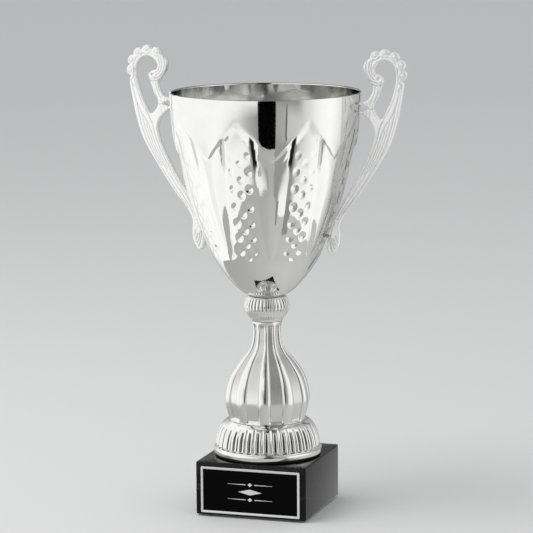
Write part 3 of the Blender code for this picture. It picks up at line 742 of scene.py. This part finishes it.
# Engraved lines on the handle: points of (distance from the axis, height), depth and width
ENGRAVED = [
    ([(77.6, 333.0), (76.7, 329.5), (76.9, 325.0), (78.6, 320.8), (81.6, 317.9), (85.0, 316.9)], 0.55, 0.45),
    ([(80.2, 333.6), (79.0, 329.5), (79.0, 325.2), (80.4, 321.6), (82.8, 319.2)], 0.5, 0.4),
    ([(82.0, 334.0), (80.8, 329.8), (80.6, 326.0), (81.8, 322.8), (83.6, 321.4)], 0.5, 0.4),
    ([(81.2, 315.9), (84.5, 314.9), (88.0, 315.4)], 0.6, 0.45),
    ([(81.0, 317.0), (84.6, 316.1), (88.4, 317.0)], 0.3, 0.35),
    ([(83.6, 314.3), (83.0, 309.5), (80.9, 304.8), (79.8, 302.6)], 0.45, 0.45),
    ([(85.9, 314.0), (85.0, 308.5), (82.6, 302.8)], 0.3, 0.4),
    ([(78.6, 298.3), (80.6, 297.9), (82.6, 298.6)], 0.5, 0.4),
    ([(73.4, 303.0), (74.4, 301.9), (74.6, 300.4)], 0.35, 0.35),
    ([(75.6, 304.0), (76.8, 302.3), (77.0, 300.0)], 0.35, 0.35),
    ([(77.8, 305.2), (79.3, 302.6), (79.4, 299.8)], 0.35, 0.35),
    ([(73.6, 294.2), (74.6, 295.4), (74.8, 296.8)], 0.35, 0.35),
    ([(75.8, 292.6), (77.1, 294.6), (77.2, 297.2)], 0.35, 0.35),
    ([(78.0, 290.6), (79.6, 293.6), (79.8, 296.6)], 0.35, 0.35),
    (RIM_LINE, 0.5, 0.42),
    ([(102.6, 313.6), (101.2, 309.0), (99.0, 300.5), (95.2, 292.0), (90.4, 284.6), (87.2, 277.0)], 0.42, 0.4),
    ([(99.9, 319.6), (101.4, 317.2), (103.3, 315.2)], 0.5, 0.4),
    ([(103.0, 314.6), (101.5, 313.0), (100.6, 310.6)], 0.45, 0.4),
    ([(49.4, 205.5), (49.3, 201.0), (50.2, 197.0), (51.4, 193.6)], 0.65, 0.4),
    ([(50.8, 203.5), (50.8, 200.6), (51.6, 198.4), (52.8, 196.0)], 0.6, 0.38),
    ([(52.3, 203.0), (52.7, 200.6), (53.5, 198.4)], 0.55, 0.38),
    ([(54.0, 205.5), (54.3, 203.2), (54.9, 201.0)], 0.45, 0.38),
]


def scroll_edge():
    """The scroll's outer edge: round beads in a row, each bead a cosine to the power 0.6."""
    angle = np.linspace(SCROLL_HIGH, SCROLL_LOW, BEADS * 14 + 1)
    bead = np.abs(np.cos(np.pi * (angle - FIRST_BEAD) / BEAD_STEP)) ** 0.6
    radius = SCROLL_RADIUS - BEAD_DEPTH * (1.0 - bead)
    turn = np.radians(angle)
    return SCROLL_CENTRE + radius[:, None] * np.stack([np.cos(turn), np.sin(turn)], axis=-1)


def inside(points, loop):
    """Which points lie inside the closed loop: an odd number of its edges lie to their right."""
    x, y = points[:, :1], points[:, 1:]
    ax, ay = loop.T
    bx, by = np.roll(loop, -1, axis=0).T
    crosses = (ay > y) != (by > y)
    rise = np.where(by == ay, 1.0, by - ay)
    return (crosses & (x < ax + (bx - ax) * (y - ay) / rise)).sum(axis=1) % 2 == 1


def distance_to(points, path, closed=False):
    """Shortest distance from each point to the path's straight pieces."""
    a = path if closed else path[:-1]
    b = np.roll(path, -1, axis=0) if closed else path[1:]
    along = b - a
    best = np.full(len(points), 1e9)
    for begin in range(0, len(points), 4000):
        block = points[begin : begin + 4000, None, :]
        t = ((block - a) * along).sum(-1) / np.maximum((along**2).sum(-1), 1e-12)
        gap = block - a - np.clip(t, 0.0, 1.0)[..., None] * along
        best[begin : begin + 4000] = np.sqrt((gap**2).sum(-1)).min(axis=1)
    return best


def arm_lines():
    """Lines carried down the arm at set shares of its width, from the inner to the outer edge."""
    outer = curve_through(ARM_OUTSIDE[2:], 60)
    inner = curve_through([(82.4, 283.0)] + ARM_INSIDE[::-1][2:], 60)
    lines = []
    for share, first, last, depth in (
        (0.2, 3, 54, 0.5),
        (0.36, 8, 30, 0.42),
        (0.5, 6, 57, 0.42),
        (0.64, 4, 30, 0.42),
        (0.8, 0, 54, 0.5),
    ):
        lines.append(((inner + (outer - inner) * share)[first:last], depth, 0.34))
    return lines


def handle_height(points, edge):
    """Half the handle's thickness and its recess: a rounded edge, raised rims, beads, ribbon and engraving.

    The edge is a quarter-round over EDGE_ROUND. Each engraved line is a bell-shaped groove. On the scroll a
    wavy ribbon dips under each bead, and a ring and a boss lie in each bead. The recess is painted shade in
    the grooves, on the sunk scroll, in the rings and in the curl's eye.
    """
    t = np.clip(edge / EDGE_ROUND, 0.0, 1.0)
    height = HALF_THICKNESS - EDGE_ROUND * 0.9 * (1.0 - np.sqrt(1.0 - (1.0 - t) ** 2))
    # Painted shade gathers in the recess: in the grooves, on the sunk scroll, in the rings and in the curl's
    # eye
    recess = np.zeros(len(points))
    for line, depth, width in ENGRAVED + arm_lines():
        near = np.exp(-((distance_to(points, curve_through(line, 24)) / width) ** 2))
        height = height - 0.5 * depth * near
        recess = np.maximum(recess, depth * near)
    polar = points - SCROLL_CENTRE
    radius = np.hypot(polar[:, 0], polar[:, 1])
    angle = np.degrees(np.arctan2(polar[:, 1], polar[:, 0]))
    on_scroll = step(SCROLL_LOW - 3.0, SCROLL_LOW + 3.0, angle)
    on_scroll = on_scroll * step(SCROLL_HIGH + 3.0, SCROLL_HIGH - 3.0, angle)
    wave = np.cos(2.0 * np.pi * (angle - FIRST_BEAD) / BEAD_STEP)
    sunk = step(10.0, 10.5, radius) * on_scroll
    ribbon = np.exp(-(((radius - RIBBON_RADIUS + 0.75 * wave) / 0.5) ** 2))
    height = height + on_scroll * (-0.3 * sunk + 0.4 * ribbon * sunk)
    recess = np.maximum(recess, on_scroll * sunk * (1.0 - ribbon) * 0.15)
    off = (angle - FIRST_BEAD + 0.5 * BEAD_STEP) % BEAD_STEP - 0.5 * BEAD_STEP
    from_bead = np.hypot(radius - BOSS_RADIUS, np.radians(off) * radius)
    dome = np.clip(1.0 - (from_bead / 2.9) ** 2, 0.0, 1.0)
    ring = np.exp(-(((from_bead - 1.6) / 0.36) ** 2))
    height = height + on_scroll * (0.5 * np.sqrt(dome) - 0.2 * ring * (from_bead < 2.6))
    recess = np.maximum(recess, on_scroll * ring * 0.35)
    from_eye = np.hypot(points[:, 0] - CURL_EYE[0], points[:, 1] - CURL_EYE[1])
    height = height - 0.45 * np.exp(-((from_eye / 1.15) ** 4))
    height = height + 0.25 * np.exp(-(((from_eye - 2.0) / 0.6) ** 2))
    recess = np.maximum(recess, 0.35 * np.exp(-((from_eye / 1.2) ** 4)))
    return np.maximum(height, 0.6), recess


def handle_edges():
    """The handle's outer edge and the edge of its open loop, as closed rows of points."""
    scroll = scroll_edge()
    arm = [tuple(scroll[-1])] + ARM_OUTSIDE + TIP + ARM_INSIDE
    fork = [ARM_INSIDE[-1]] + FORK + [NECK[0]]
    neck = NECK + [tuple(scroll[0])]
    rest = [curve_through(part, count)[:-1] for part, count in ((arm, 560), (fork, 70), (neck, 80))]
    return np.vstack([scroll[:-1]] + rest), curve_through(LOOP, 170, closed=True)


def handle_sheet(outer, hole):
    """The handle's outline filled with triangles: edge rows, then a staggered grid of points.

    Returns points of (distance from the axis, height) and triangles.
    """

    def to_edge(spots):
        """Distance from each spot to the nearer of the two edges."""
        return np.minimum(distance_to(spots, outer, True), distance_to(spots, hole, True))

    def on_metal(spots):
        """Which spots lie within the outer edge but not in the open loop."""
        return inside(spots, outer) & ~inside(spots, hole)

    edges = np.concatenate([outer, hole])
    found = [edges]
    for inset in EDGE_ROWS:
        for loop in (outer, hole):
            along = np.roll(loop, -1, axis=0) - np.roll(loop, 1, axis=0)
            along /= np.linalg.norm(along, axis=1)[:, None]
            normal = np.stack([along[:, 1], -along[:, 0]], axis=-1)
            for sign in (1.0, -1.0):
                row = loop + sign * inset * normal
                row = row[on_metal(row)]
                found.append(row[to_edge(row) > inset * 0.97])
    low, high = edges.min(axis=0), edges.max(axis=0)
    rows = np.arange(low[1], high[1], GRID_PITCH * 0.866)
    across = np.arange(low[0], high[0], GRID_PITCH)
    field = np.array(np.meshgrid(across, rows)).transpose(1, 2, 0)
    field[1::2, :, 0] += 0.5 * GRID_PITCH
    field = field.reshape(-1, 2)
    field = field[on_metal(field)]
    found.append(field[to_edge(field) > GRID_MARGIN])
    points = np.concatenate(found)
    rims = [np.arange(len(outer)), len(outer) + np.arange(len(hole))]
    links = [(int(a), int(b)) for rim in rims for a, b in zip(rim, np.roll(rim, -1))]
    flat = delaunay_2d_cdt([Vector(p) for p in points], links, [], 0, 1e-6)
    made = np.array([tuple(v) for v in flat[0]])
    triangles = np.array([tuple(f) for f in flat[2] if len(f) == 3])
    triangles = triangles[on_metal(made[triangles].mean(axis=1))]
    a, b, c = (made[triangles[:, i]] for i in range(3))
    area = (b - a)[:, 0] * (c - a)[:, 1] - (b - a)[:, 1] * (c - a)[:, 0]
    triangles[area < 0] = triangles[area < 0][:, ::-1]
    used = np.zeros(len(made), dtype=bool)
    used[triangles] = True
    number = np.cumsum(used) - 1
    return made[used], number[triangles]


def handles():
    """Both handles: the sheet raised by its height towards the front and the back, joined by an edge wall."""
    outer, hole = handle_edges()
    flat, triangles = handle_sheet(outer, hole)
    edge = np.minimum(distance_to(flat, outer, True), distance_to(flat, hole, True))
    height, recess = handle_height(flat, edge)
    count = len(flat)
    pairs = np.concatenate([triangles[:, [0, 1]], triangles[:, [1, 2]], triangles[:, [2, 0]]])
    code = pairs[:, 0] * count + pairs[:, 1]
    back = pairs[:, 1] * count + pairs[:, 0]
    border = pairs[~np.isin(code, back)]
    for side, name in ((1.0, "right"), (-1.0, "left")):
        front = np.stack([side * flat[:, 0], -height, flat[:, 1]], axis=-1)
        rear = np.stack([side * flat[:, 0], height, flat[:, 1]], axis=-1)
        faces = np.concatenate([triangles, triangles[:, ::-1] + count])
        wall = np.stack([border[:, 1], border[:, 0], border[:, 0] + count, border[:, 1] + count], axis=-1)
        if side < 0:
            faces, wall = faces[:, ::-1], wall[:, ::-1]
        piece(
            "scroll_handle_" + name,
            np.concatenate([front, rear]),
            faces.tolist() + wall.tolist(),
            [SATIN_SILVER],
            "satin_silver_plate",
            ["handle_" + name],
            recess=np.concatenate([recess, recess]),
            sharp=50.0,
        )


handles()


# ---------------------------------------------------------------- block and nameplate


def square_ring(half_width, half_depth, corner, per_corner=6):
    """Points round a rectangle whose corners are quarter-circles, starting at its lower right corner."""
    ring = []
    for number, (sx, sy) in enumerate(((1, -1), (1, 1), (-1, 1), (-1, -1))):
        turn = np.radians(np.linspace(-90.0, 0.0, per_corner) + 90.0 * number)
        centre = np.array([sx * (half_width - corner), sy * (half_depth - corner)])
        ring.append(centre + corner * np.stack([np.cos(turn), np.sin(turn)], axis=-1))
    return np.concatenate(ring)


BLOCK_HALF = 42.0
BLOCK_EDGE = 1.2
BLOCK_BOTTOM, BLOCK_TOP = 1.1, 40.6
BLOCK_BORE = 4.0
RECESS_RADIUS, RECESS_ROOF = 13.0, 13.1


def marble_block():
    """The block: rounded squares up its sides with polished quarter-round edges, closed round the rod's bore.

    Underneath, a round recess holds the nut.
    """

    def level(ring, height):
        """The ring's points at one height."""
        return np.column_stack([ring, np.full(len(ring), height)])

    outer = square_ring(BLOCK_HALF, BLOCK_HALF, BLOCK_EDGE)
    turn = outer / np.linalg.norm(outer, axis=1)[:, None]
    rings = [level(turn * BLOCK_BORE, height) for height in (BLOCK_TOP, RECESS_ROOF)]
    rings += [level(turn * RECESS_RADIUS, height) for height in (RECESS_ROOF, BLOCK_BOTTOM)]
    arc = np.radians([0.0, 22.5, 45.0, 67.5, 90.0])
    for start, way, turns in ((BLOCK_BOTTOM, 1.0, arc), (BLOCK_TOP, -1.0, arc[::-1])):
        for a in turns:
            inset = BLOCK_EDGE * (1.0 - math.sin(a))
            ring = square_ring(BLOCK_HALF - inset, BLOCK_HALF - inset, max(BLOCK_EDGE - inset, 0.02))
            rings.append(level(ring, start + way * BLOCK_EDGE * (1.0 - math.cos(a))))
    points = np.array(rings)
    faces = grid_faces(len(rings), len(outer))
    return piece("marble_block", points, faces, [STONE], "black_marble", ["marble_base"], sharp=30.0)


marble_block()

PLATE_WIDTH, PLATE_HEIGHT = 75.5, 34.3
PLATE_MIDDLE = 20.3
PLATE_BACK, PLATE_FRONT = -42.7, -43.3
BORDER = 1.7


def nameplate():
    """The plate: nested rectangles from its back edge to a bright border round a sunk black field."""
    half_w, half_h = 0.5 * PLATE_WIDTH, 0.5 * PLATE_HEIGHT
    profile = [
        (0.0, PLATE_BACK, 0),
        (0.0, PLATE_FRONT + 0.12, 0),
        (0.12, PLATE_FRONT, 0),
        (BORDER - 0.15, PLATE_FRONT, 0),
        (BORDER, PLATE_FRONT + 0.1, 1),
        (BORDER + 0.6, PLATE_FRONT + 0.1, 1),
    ]
    rings = []
    for inset, depth, _ in profile:
        ring = square_ring(half_w - inset, half_h - inset, max(0.7 - inset, 0.05), 4)
        rings.append(np.column_stack([ring[:, 0], np.full(len(ring), depth), ring[:, 1] + PLATE_MIDDLE]))
    columns = len(rings[0])
    points = np.concatenate(rings)
    faces = grid_faces(len(rings), columns, close_rows=False)
    owners = np.repeat([entry[2] for entry in profile[:-1]], columns).tolist()
    last = (len(rings) - 1) * columns
    faces.append(list(range(last, last + columns)))
    faces.append(list(range(columns))[::-1])
    owners += [1, 1]
    return piece(
        "framed_nameplate",
        points,
        faces,
        [BORDER_SILVER, ANODISED],
        "black_anodised_aluminium",
        ["nameplate"],
        face_materials=owners,
        sharp=30.0,
    )


nameplate()


def plate_ornament():
    """A generic cut ornament in place of lettering: a lozenge between two pairs of tapering bars.

    Each shape is an outline raised 0.06 mm from the sunk field.
    """
    front = PLATE_FRONT + 0.04
    back = PLATE_FRONT + 0.12
    shapes = []
    for z in (5.6, -5.6):
        for inner, outer in ((-3.4, -17.0), (3.4, 17.0)):
            shapes.append([(inner, z + 0.32), (outer, z + 0.1), (outer, z - 0.1), (inner, z - 0.32)])
        shapes.append([(0.0, z + 1.5), (1.7, z), (0.0, z - 1.5), (-1.7, z)])
    shapes.append([(0.0, 2.2), (9.0, 0.0), (0.0, -2.2), (-9.0, 0.0)])
    points, faces = [], []
    for shape in shapes:
        outline = np.array(shape)
        x, z = outline.T
        if (x * np.roll(z, -1) - z * np.roll(x, -1)).sum() < 0:
            outline = outline[::-1]
        first, size = len(points), len(outline)
        points += [(x, front, PLATE_MIDDLE + z) for x, z in outline]
        points += [(x, back, PLATE_MIDDLE + z) for x, z in outline]
        near = list(range(first, first + size))
        far = list(range(first + size, first + 2 * size))
        faces += [near, far[::-1]]
        for i in range(size):
            after = (i + 1) % size
            faces.append([near[after], near[i], far[i], far[after]])
    return piece(
        "nameplate_ornament",
        np.array(points),
        faces,
        [BORDER_SILVER],
        "black_anodised_aluminium",
        [],
        sharp=30.0,
    )


plate_ornament()


# ---------------------------------------------------------------- hardware


ROD_BOTTOM, ROD_TOP = 3.0, 171.5
# (lowest height, highest height, rows) of the two threads
THREADS = ((ROD_BOTTOM, 15.0, 97), (157.0, ROD_TOP, 117))
SHANK_RADIUS = 2.7
THREAD_RADIUS = 2.95


def threaded_rod():
    """The rod: plain in the middle, with a helical M6 thread of 1 mm pitch at each end.

    The radius falls by a triangle wave of height minus turn, so the valley winds round like a real thread.
    """
    pitch, depth, columns = 1.0, 0.45, 24
    heights = np.concatenate([np.linspace(*thread) for thread in THREADS])
    turn = np.arange(columns) * 360.0 / columns
    phase = (heights[:, None] / pitch - turn[None, :] / 360.0) % 1.0
    wave = np.abs(2.0 * phase - 1.0)
    near_end = np.minimum(np.abs(heights - ROD_BOTTOM), np.abs(heights - ROD_TOP))[:, None]
    radii = THREAD_RADIUS - depth * wave - 0.5 * step(0.6, 0.0, near_end)
    first_shank_row = THREADS[0][2] - 1
    radii[first_shank_row : first_shank_row + 2] = SHANK_RADIUS
    rings = around(radii, heights[:, None], turn[None, :])
    points = np.vstack([rings.reshape(-1, 3), [(0.0, 0.0, ROD_BOTTOM), (0.0, 0.0, ROD_TOP)]])
    faces = grid_faces(len(heights), columns, close_rows=False)
    last = (len(heights) - 1) * columns
    total = len(heights) * columns
    faces += [[total, (j + 1) % columns, j] for j in range(columns)]
    faces += [[total + 1, last + j, last + (j + 1) % columns] for j in range(columns)]
    return piece("threaded_rod", points, faces, [ZINC], "zinc_plated_steel", ["tie_rod"], sharp=50.0)


threaded_rod()


def hexagon(angles, across_flats):
    """Radius of a hexagon with flats across_flats apart."""
    off = np.radians((angles + 30.0) % 60.0 - 30.0)
    return 0.5 * across_flats / np.cos(off)


NUT_HEIGHT, NUT_ACROSS = 5.0, 10.0


def nut(name, bottom):
    """A hexagon nut: the hexagon cut by a cone at both ends, with a countersunk bore."""
    angles = np.arange(72) * 5.0
    rings = []
    for level in (0.0, 0.2, 0.45, 0.8, 1.4, 3.6, 4.2, 4.55, 4.8, NUT_HEIGHT):
        cone = 4.75 + 1.9 * min(level, NUT_HEIGHT - level)
        rings.append(around(np.minimum(hexagon(angles, NUT_ACROSS), cone), bottom + level, angles))
    for level, radius in ((NUT_HEIGHT, 3.75), (4.55, 3.3), (0.45, 3.3), (0.0, 3.75)):
        rings.append(around(radius, bottom + level, angles))
    faces = grid_faces(len(rings), len(angles))
    piece(name + "_chamfered", np.array(rings), faces, [ZINC], "zinc_plated_steel", [name], sharp=30.0)


nut("bowl_nut", 163.6)
nut("base_nut", 4.0)


SCREW_TILT = 22.0  # degrees below level, towards the handle
SCREW_PLACE = (45.8, 205.0)  # distance from the axis and height, at the bowl's wall


def handle_screws():
    """A screw through the bowl's wall into each handle: domed head, hexagon socket, plain shank."""
    tilt = math.radians(SCREW_TILT)
    columns = 48
    angles = np.arange(columns) * 360.0 / columns
    socket = hexagon(angles, 2.0)
    outline = [(0.02, 6.0), (0.9, 6.0), (1.25, 5.6), (1.25, -2.6), (2.4, -2.6), (2.5, -2.8), (2.5, -3.5)]
    outline += [(2.3, -4.0), (1.9, -4.3), (1.35, -4.4)]
    for side, name in ((1.0, "right"), (-1.0, "left")):
        line = np.array([side * math.cos(tilt), 0.0, -math.sin(tilt)])
        across = np.array([0.0, 1.0, 0.0])
        over = np.cross(line, across)
        origin = np.array([side * SCREW_PLACE[0], 0.0, SCREW_PLACE[1]])
        rings = []
        for radius, along in outline + [(socket, -4.4), (socket, -3.3), (0.02, -3.2)]:
            turn = np.radians(angles)
            flat = np.outer(radius * np.cos(turn), across) + np.outer(radius * np.sin(turn), over)
            rings.append(origin + flat + along * line)
        count = len(rings)
        faces = grid_faces(count, columns, close_rows=False, flip=True)
        last = (count - 1) * columns
        faces += [list(range(columns)), list(range(last, last + columns))[::-1]]
        piece(
            "socket_screw_" + name,
            np.array(rings),
            faces,
            [ZINC],
            "zinc_plated_steel",
            ["handle_screw_" + name],
            sharp=35.0,
        )


handle_screws()

CARRIED = {
    ZINC: ["screw_washer_left", "screw_washer_right", "bowl_washer", "base_washer", "base_lock_washer"],
    RUBBER: ["foot_gasket", "base_pad_1", "base_pad_2", "base_pad_3", "base_pad_4"],
    NYLON: ["bowl_seat_washer"],
    ADHESIVE: ["nameplate_adhesive"],
    SOLDER: ["solder_left_lower", "solder_left_upper", "solder_right_lower", "solder_right_upper"],
}
for material, names in CARRIED.items():
    for name in names:
        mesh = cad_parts[name].data
        mesh.materials.clear()
        mesh.materials.append(material)


# ---------------------------------------------------------------- stage, light and camera


def stage_piece(name, points, faces, material, glow=None):
    """A stage mesh in metres, with its brightness stored per point."""
    mesh = bpy.data.meshes.new(name)
    mesh.from_pydata(np.asarray(points).reshape(-1, 3).tolist(), [], faces)
    mesh.update()
    mesh.shade_smooth()
    mesh.materials.append(material)
    if glow is not None:
        stored = mesh.attributes.new("glow", "FLOAT", "POINT").data
        stored.foreach_set("value", np.ravel(glow).astype(np.float32))
    made = bpy.data.objects.new(name, mesh)
    bpy.context.scene.collection.objects.link(made)
    return made


def reflected_piece(name, points, faces, glow):
    """A glowing stage piece that shows in reflections only."""
    made = stage_piece(name, points, faces, glow_material, glow)
    made.visible_camera = False
    made.visible_diffuse = False
    made.visible_shadow = False
    made.visible_transmission = False
    made.visible_volume_scatter = False


# Matt pale floor: a soft shadow under the block and hardly any shine
floor_material, _, floor_shader = empty_material("pale_floor")
floor_shader.inputs["Base Color"].default_value = linear("#D2D2D1")
floor_shader.inputs["Roughness"].default_value = 0.85
floor_shader.inputs["Specular IOR Level"].default_value = 0.15
stage_piece("floor", [(-12, -12, 0), (12, -12, 0), (12, 12, 0), (-12, 12, 0)], [(0, 1, 2, 3)], floor_material)

# White walls and cards: plain light, as bright as each point says
glow_material = bpy.data.materials.new("studio_wall_glow")
glow_material.use_nodes = True
glow_tree = glow_material.node_tree
glow_tree.nodes.clear()
glow_value = add(glow_tree, "ShaderNodeAttribute", attribute_name="glow").outputs["Fac"]
glow_light = add(glow_tree, "ShaderNodeEmission", {"Strength": glow_value})
add(glow_tree, "ShaderNodeOutputMaterial", {"Surface": glow_light.outputs["Emission"]})

# Brightness and distance of the white walls by angle from the camera's side, right of it positive
WALL_GLOW = [(-180, 0.12), (-165, 0.4), (-155, 0.65), (-134, 1.0), (-118, 1.12), (-105, 1.15), (-94, 1.1)]
WALL_GLOW += [(-84, 1.0), (-74, 1.0), (-66, 1.1), (-57, 1.12), (-49, 1.04), (-42, 0.9), (-34, 0.77)]
WALL_GLOW += [(-27, 0.65), (-19, 0.48), (-8.4, 0.32), (11.4, 0.4), (22.2, 0.45), (22.5, 0.04), (23.5, 0.04)]
WALL_GLOW += [(24, 0.6), (40, 0.68), (47, 0.78), (54, 0.93), (63, 1.08), (78, 1.14), (91, 0.95), (101, 0.72)]
WALL_GLOW += [(114, 0.52), (139, 0.45), (140, 0.12), (144, 0.12), (145, 0.5), (158, 0.42), (170, 0.25)]
WALL_GLOW += [(180, 0.15)]
WALL_DISTANCE = [(-180, 0.34), (-120, 0.28), (-80, 0.23), (-60, 0.25), (-42, 0.35), (-24, 0.44), (0, 0.46)]
WALL_DISTANCE += [(22, 0.36), (40, 0.31), (80, 0.29), (120, 0.3), (180, 0.34)]
GAP_LEFT, GAP_RIGHT = -8.4, 11.4
FULL_WHITE = 1.08
SIDE_GREY = 0.34


def open_grid(rows, columns):
    """Quads of a grid that closes on neither side."""
    i, j = np.meshgrid(np.arange(rows - 1), np.arange(columns - 1), indexing="ij")
    first = (i * columns + j).ravel()
    return np.stack([first, first + 1, first + columns + 1, first + columns], axis=-1).tolist()


def upright_card(name, angle, distance, half_width, heights, glow):
    """A flat card facing the cup at an angle from the camera's side, seen only in its reflections."""
    turn = math.radians(angle + CAMERA_ANGLE)
    ahead = np.array([math.sin(turn), -math.cos(turn)])
    across = np.array([-ahead[1], ahead[0]])
    low, high = heights
    card = []
    for side, height in ((-1, low), (1, low), (1, high), (-1, high)):
        spot = ahead * distance + across * side * half_width
        card.append((spot[0], spot[1], height))
    reflected_piece(name, card, [(0, 1, 2, 3)], np.full(4, glow))


def studio_walls():
    """White walls round the cup, seen only in its reflections, with a gap and a dark card towards the camera.

    The walls lean in overhead at the front and sides, and stop at the rim's height behind the cup.
    """
    turn = np.concatenate([np.linspace(GAP_RIGHT, 24.0, 30), np.linspace(24.5, 360.0 + GAP_LEFT, 200)])
    signed = np.where(turn > 180.0, turn - 360.0, turn)
    base = np.interp(signed, *np.array(WALL_GLOW, dtype=float).T)
    distance = np.interp(signed, *np.array(WALL_DISTANCE).T)
    tall = 0.34 + 0.9 * step(135.0, 105.0, np.abs(signed))
    share = np.linspace(0.0, 1.0, 41)[:, None]
    heights = 0.001 + tall * share**1.5
    lean = distance * (1.0 - 0.85 * np.where(tall > 0.5, step(0.55, 1.0, share**1.5), 0.0))
    angle = np.radians(signed + CAMERA_ANGLE)
    points = np.stack([lean * np.sin(angle), -lean * np.cos(angle), heights + 0.0 * lean], axis=-1)
    left_foot = step(0.16, 0.08, heights) * step(-72.0, -50.0, signed) * step(-12.0, -27.0, signed)
    window = step(0.15, 0.17, heights) * step(0.255, 0.235, heights)
    right_side = (1.0 - window) * step(44.0, 34.0, signed) * (signed > 0)
    left_top = step(0.222, 0.236, heights) * (signed < 0)
    right_foot = step(0.13, 0.07, heights) * step(34.0, 40.0, signed) * step(76.0, 66.0, signed)
    glow = base + (FULL_WHITE - base) * 0.85 * (left_foot + right_foot)
    glow = glow + (FULL_WHITE - glow) * left_top * (glow > 0.25)
    glow = glow + (SIDE_GREY - glow) * right_side
    glow = glow * (1.0 - 0.66 * step(0.45, 0.8, heights))
    reflected_piece("studio_walls", points, open_grid(*points.shape[:2]), glow)

    upright_card("dark_card", 0.0, 0.58, 0.2, (0.0005, 1.6005), 0.0)
    upright_card("grey_card", 27.0, 0.15, 0.022, (0.112, 0.166), 0.3)

    reach = np.array([0.0, 0.1, 0.3, 0.6, 3.0])[:, None]
    spin = np.radians(np.arange(48) * 7.5)[None, :]
    mat = np.stack([reach * np.sin(spin), -reach * np.cos(spin), 0.0004 + 0.0 * reach * spin], axis=-1)
    bright = np.array([0.54, 0.54, 0.5, 0.42, 0.3])[:, None] + 0.08 * np.sin(spin) * (reach > 0.0)
    reflected_piece("grey_table_mat", mat, grid_faces(*mat.shape[:2], close_rows=False), bright)


studio_walls()

world = bpy.data.worlds.new("studio")
bpy.context.scene.world = world
world.use_nodes = True
sky = world.node_tree
sky.nodes.clear()
ray = add(sky, "ShaderNodeLightPath").outputs["Is Glossy Ray"]
open_light = add(sky, "ShaderNodeBackground", {"Color": linear("#F4F5F7"), "Strength": 0.85})
dark_room = add(sky, "ShaderNodeBackground", {"Color": linear("#8A8A8C"), "Strength": 0.8})
either = add(
    sky,
    "ShaderNodeMixShader",
    {"Fac": ray, 1: open_light.outputs["Background"], 2: dark_room.outputs["Background"]},
)
add(sky, "ShaderNodeOutputWorld", {"Surface": either.outputs["Shader"]})

lamp_data = bpy.data.lights.new("overhead_softbox", "AREA")
lamp_data.shape = "DISK"
lamp_data.size = 1.2
lamp_data.energy = 14.0
lamp = bpy.data.objects.new("overhead_softbox", lamp_data)
bpy.context.scene.collection.objects.link(lamp)
lamp.location = (-0.7, -0.5, 1.6)
lamp.rotation_euler = (Vector((0.0, 0.0, 0.15)) - lamp.location).to_track_quat("-Z", "Y").to_euler()
lamp.visible_glossy = False

CAMERA_PITCH, CAMERA_ROLL = 9.12, -0.42  # degrees
CAMERA_PLACE = (0.6090, -1.8744, 0.4966)
CAMERA_LENS = 183.88
camera_data = bpy.data.cameras.new("camera")
camera = bpy.data.objects.new("camera", camera_data)
bpy.context.scene.collection.objects.link(camera)
turn, pitch, roll = (math.radians(angle) for angle in (CAMERA_ANGLE, CAMERA_PITCH, CAMERA_ROLL))
right = Vector((math.cos(turn), math.sin(turn), 0.0))
ahead = Vector((-math.sin(turn) * math.cos(pitch), math.cos(turn) * math.cos(pitch), -math.sin(pitch)))
up = right.cross(ahead)
side_axis = right * math.cos(roll) + up * math.sin(roll)
up_axis = up * math.cos(roll) - right * math.sin(roll)
place = Matrix((side_axis, up_axis, -ahead)).transposed().to_4x4()
place.translation = CAMERA_PLACE
camera.matrix_world = place
camera_data.lens = CAMERA_LENS
camera_data.sensor_width = 36.0
camera_data.clip_start = 0.05
camera_data.clip_end = 60.0
bpy.context.scene.camera = camera
bpy.context.scene.view_settings.view_transform = "Standard"
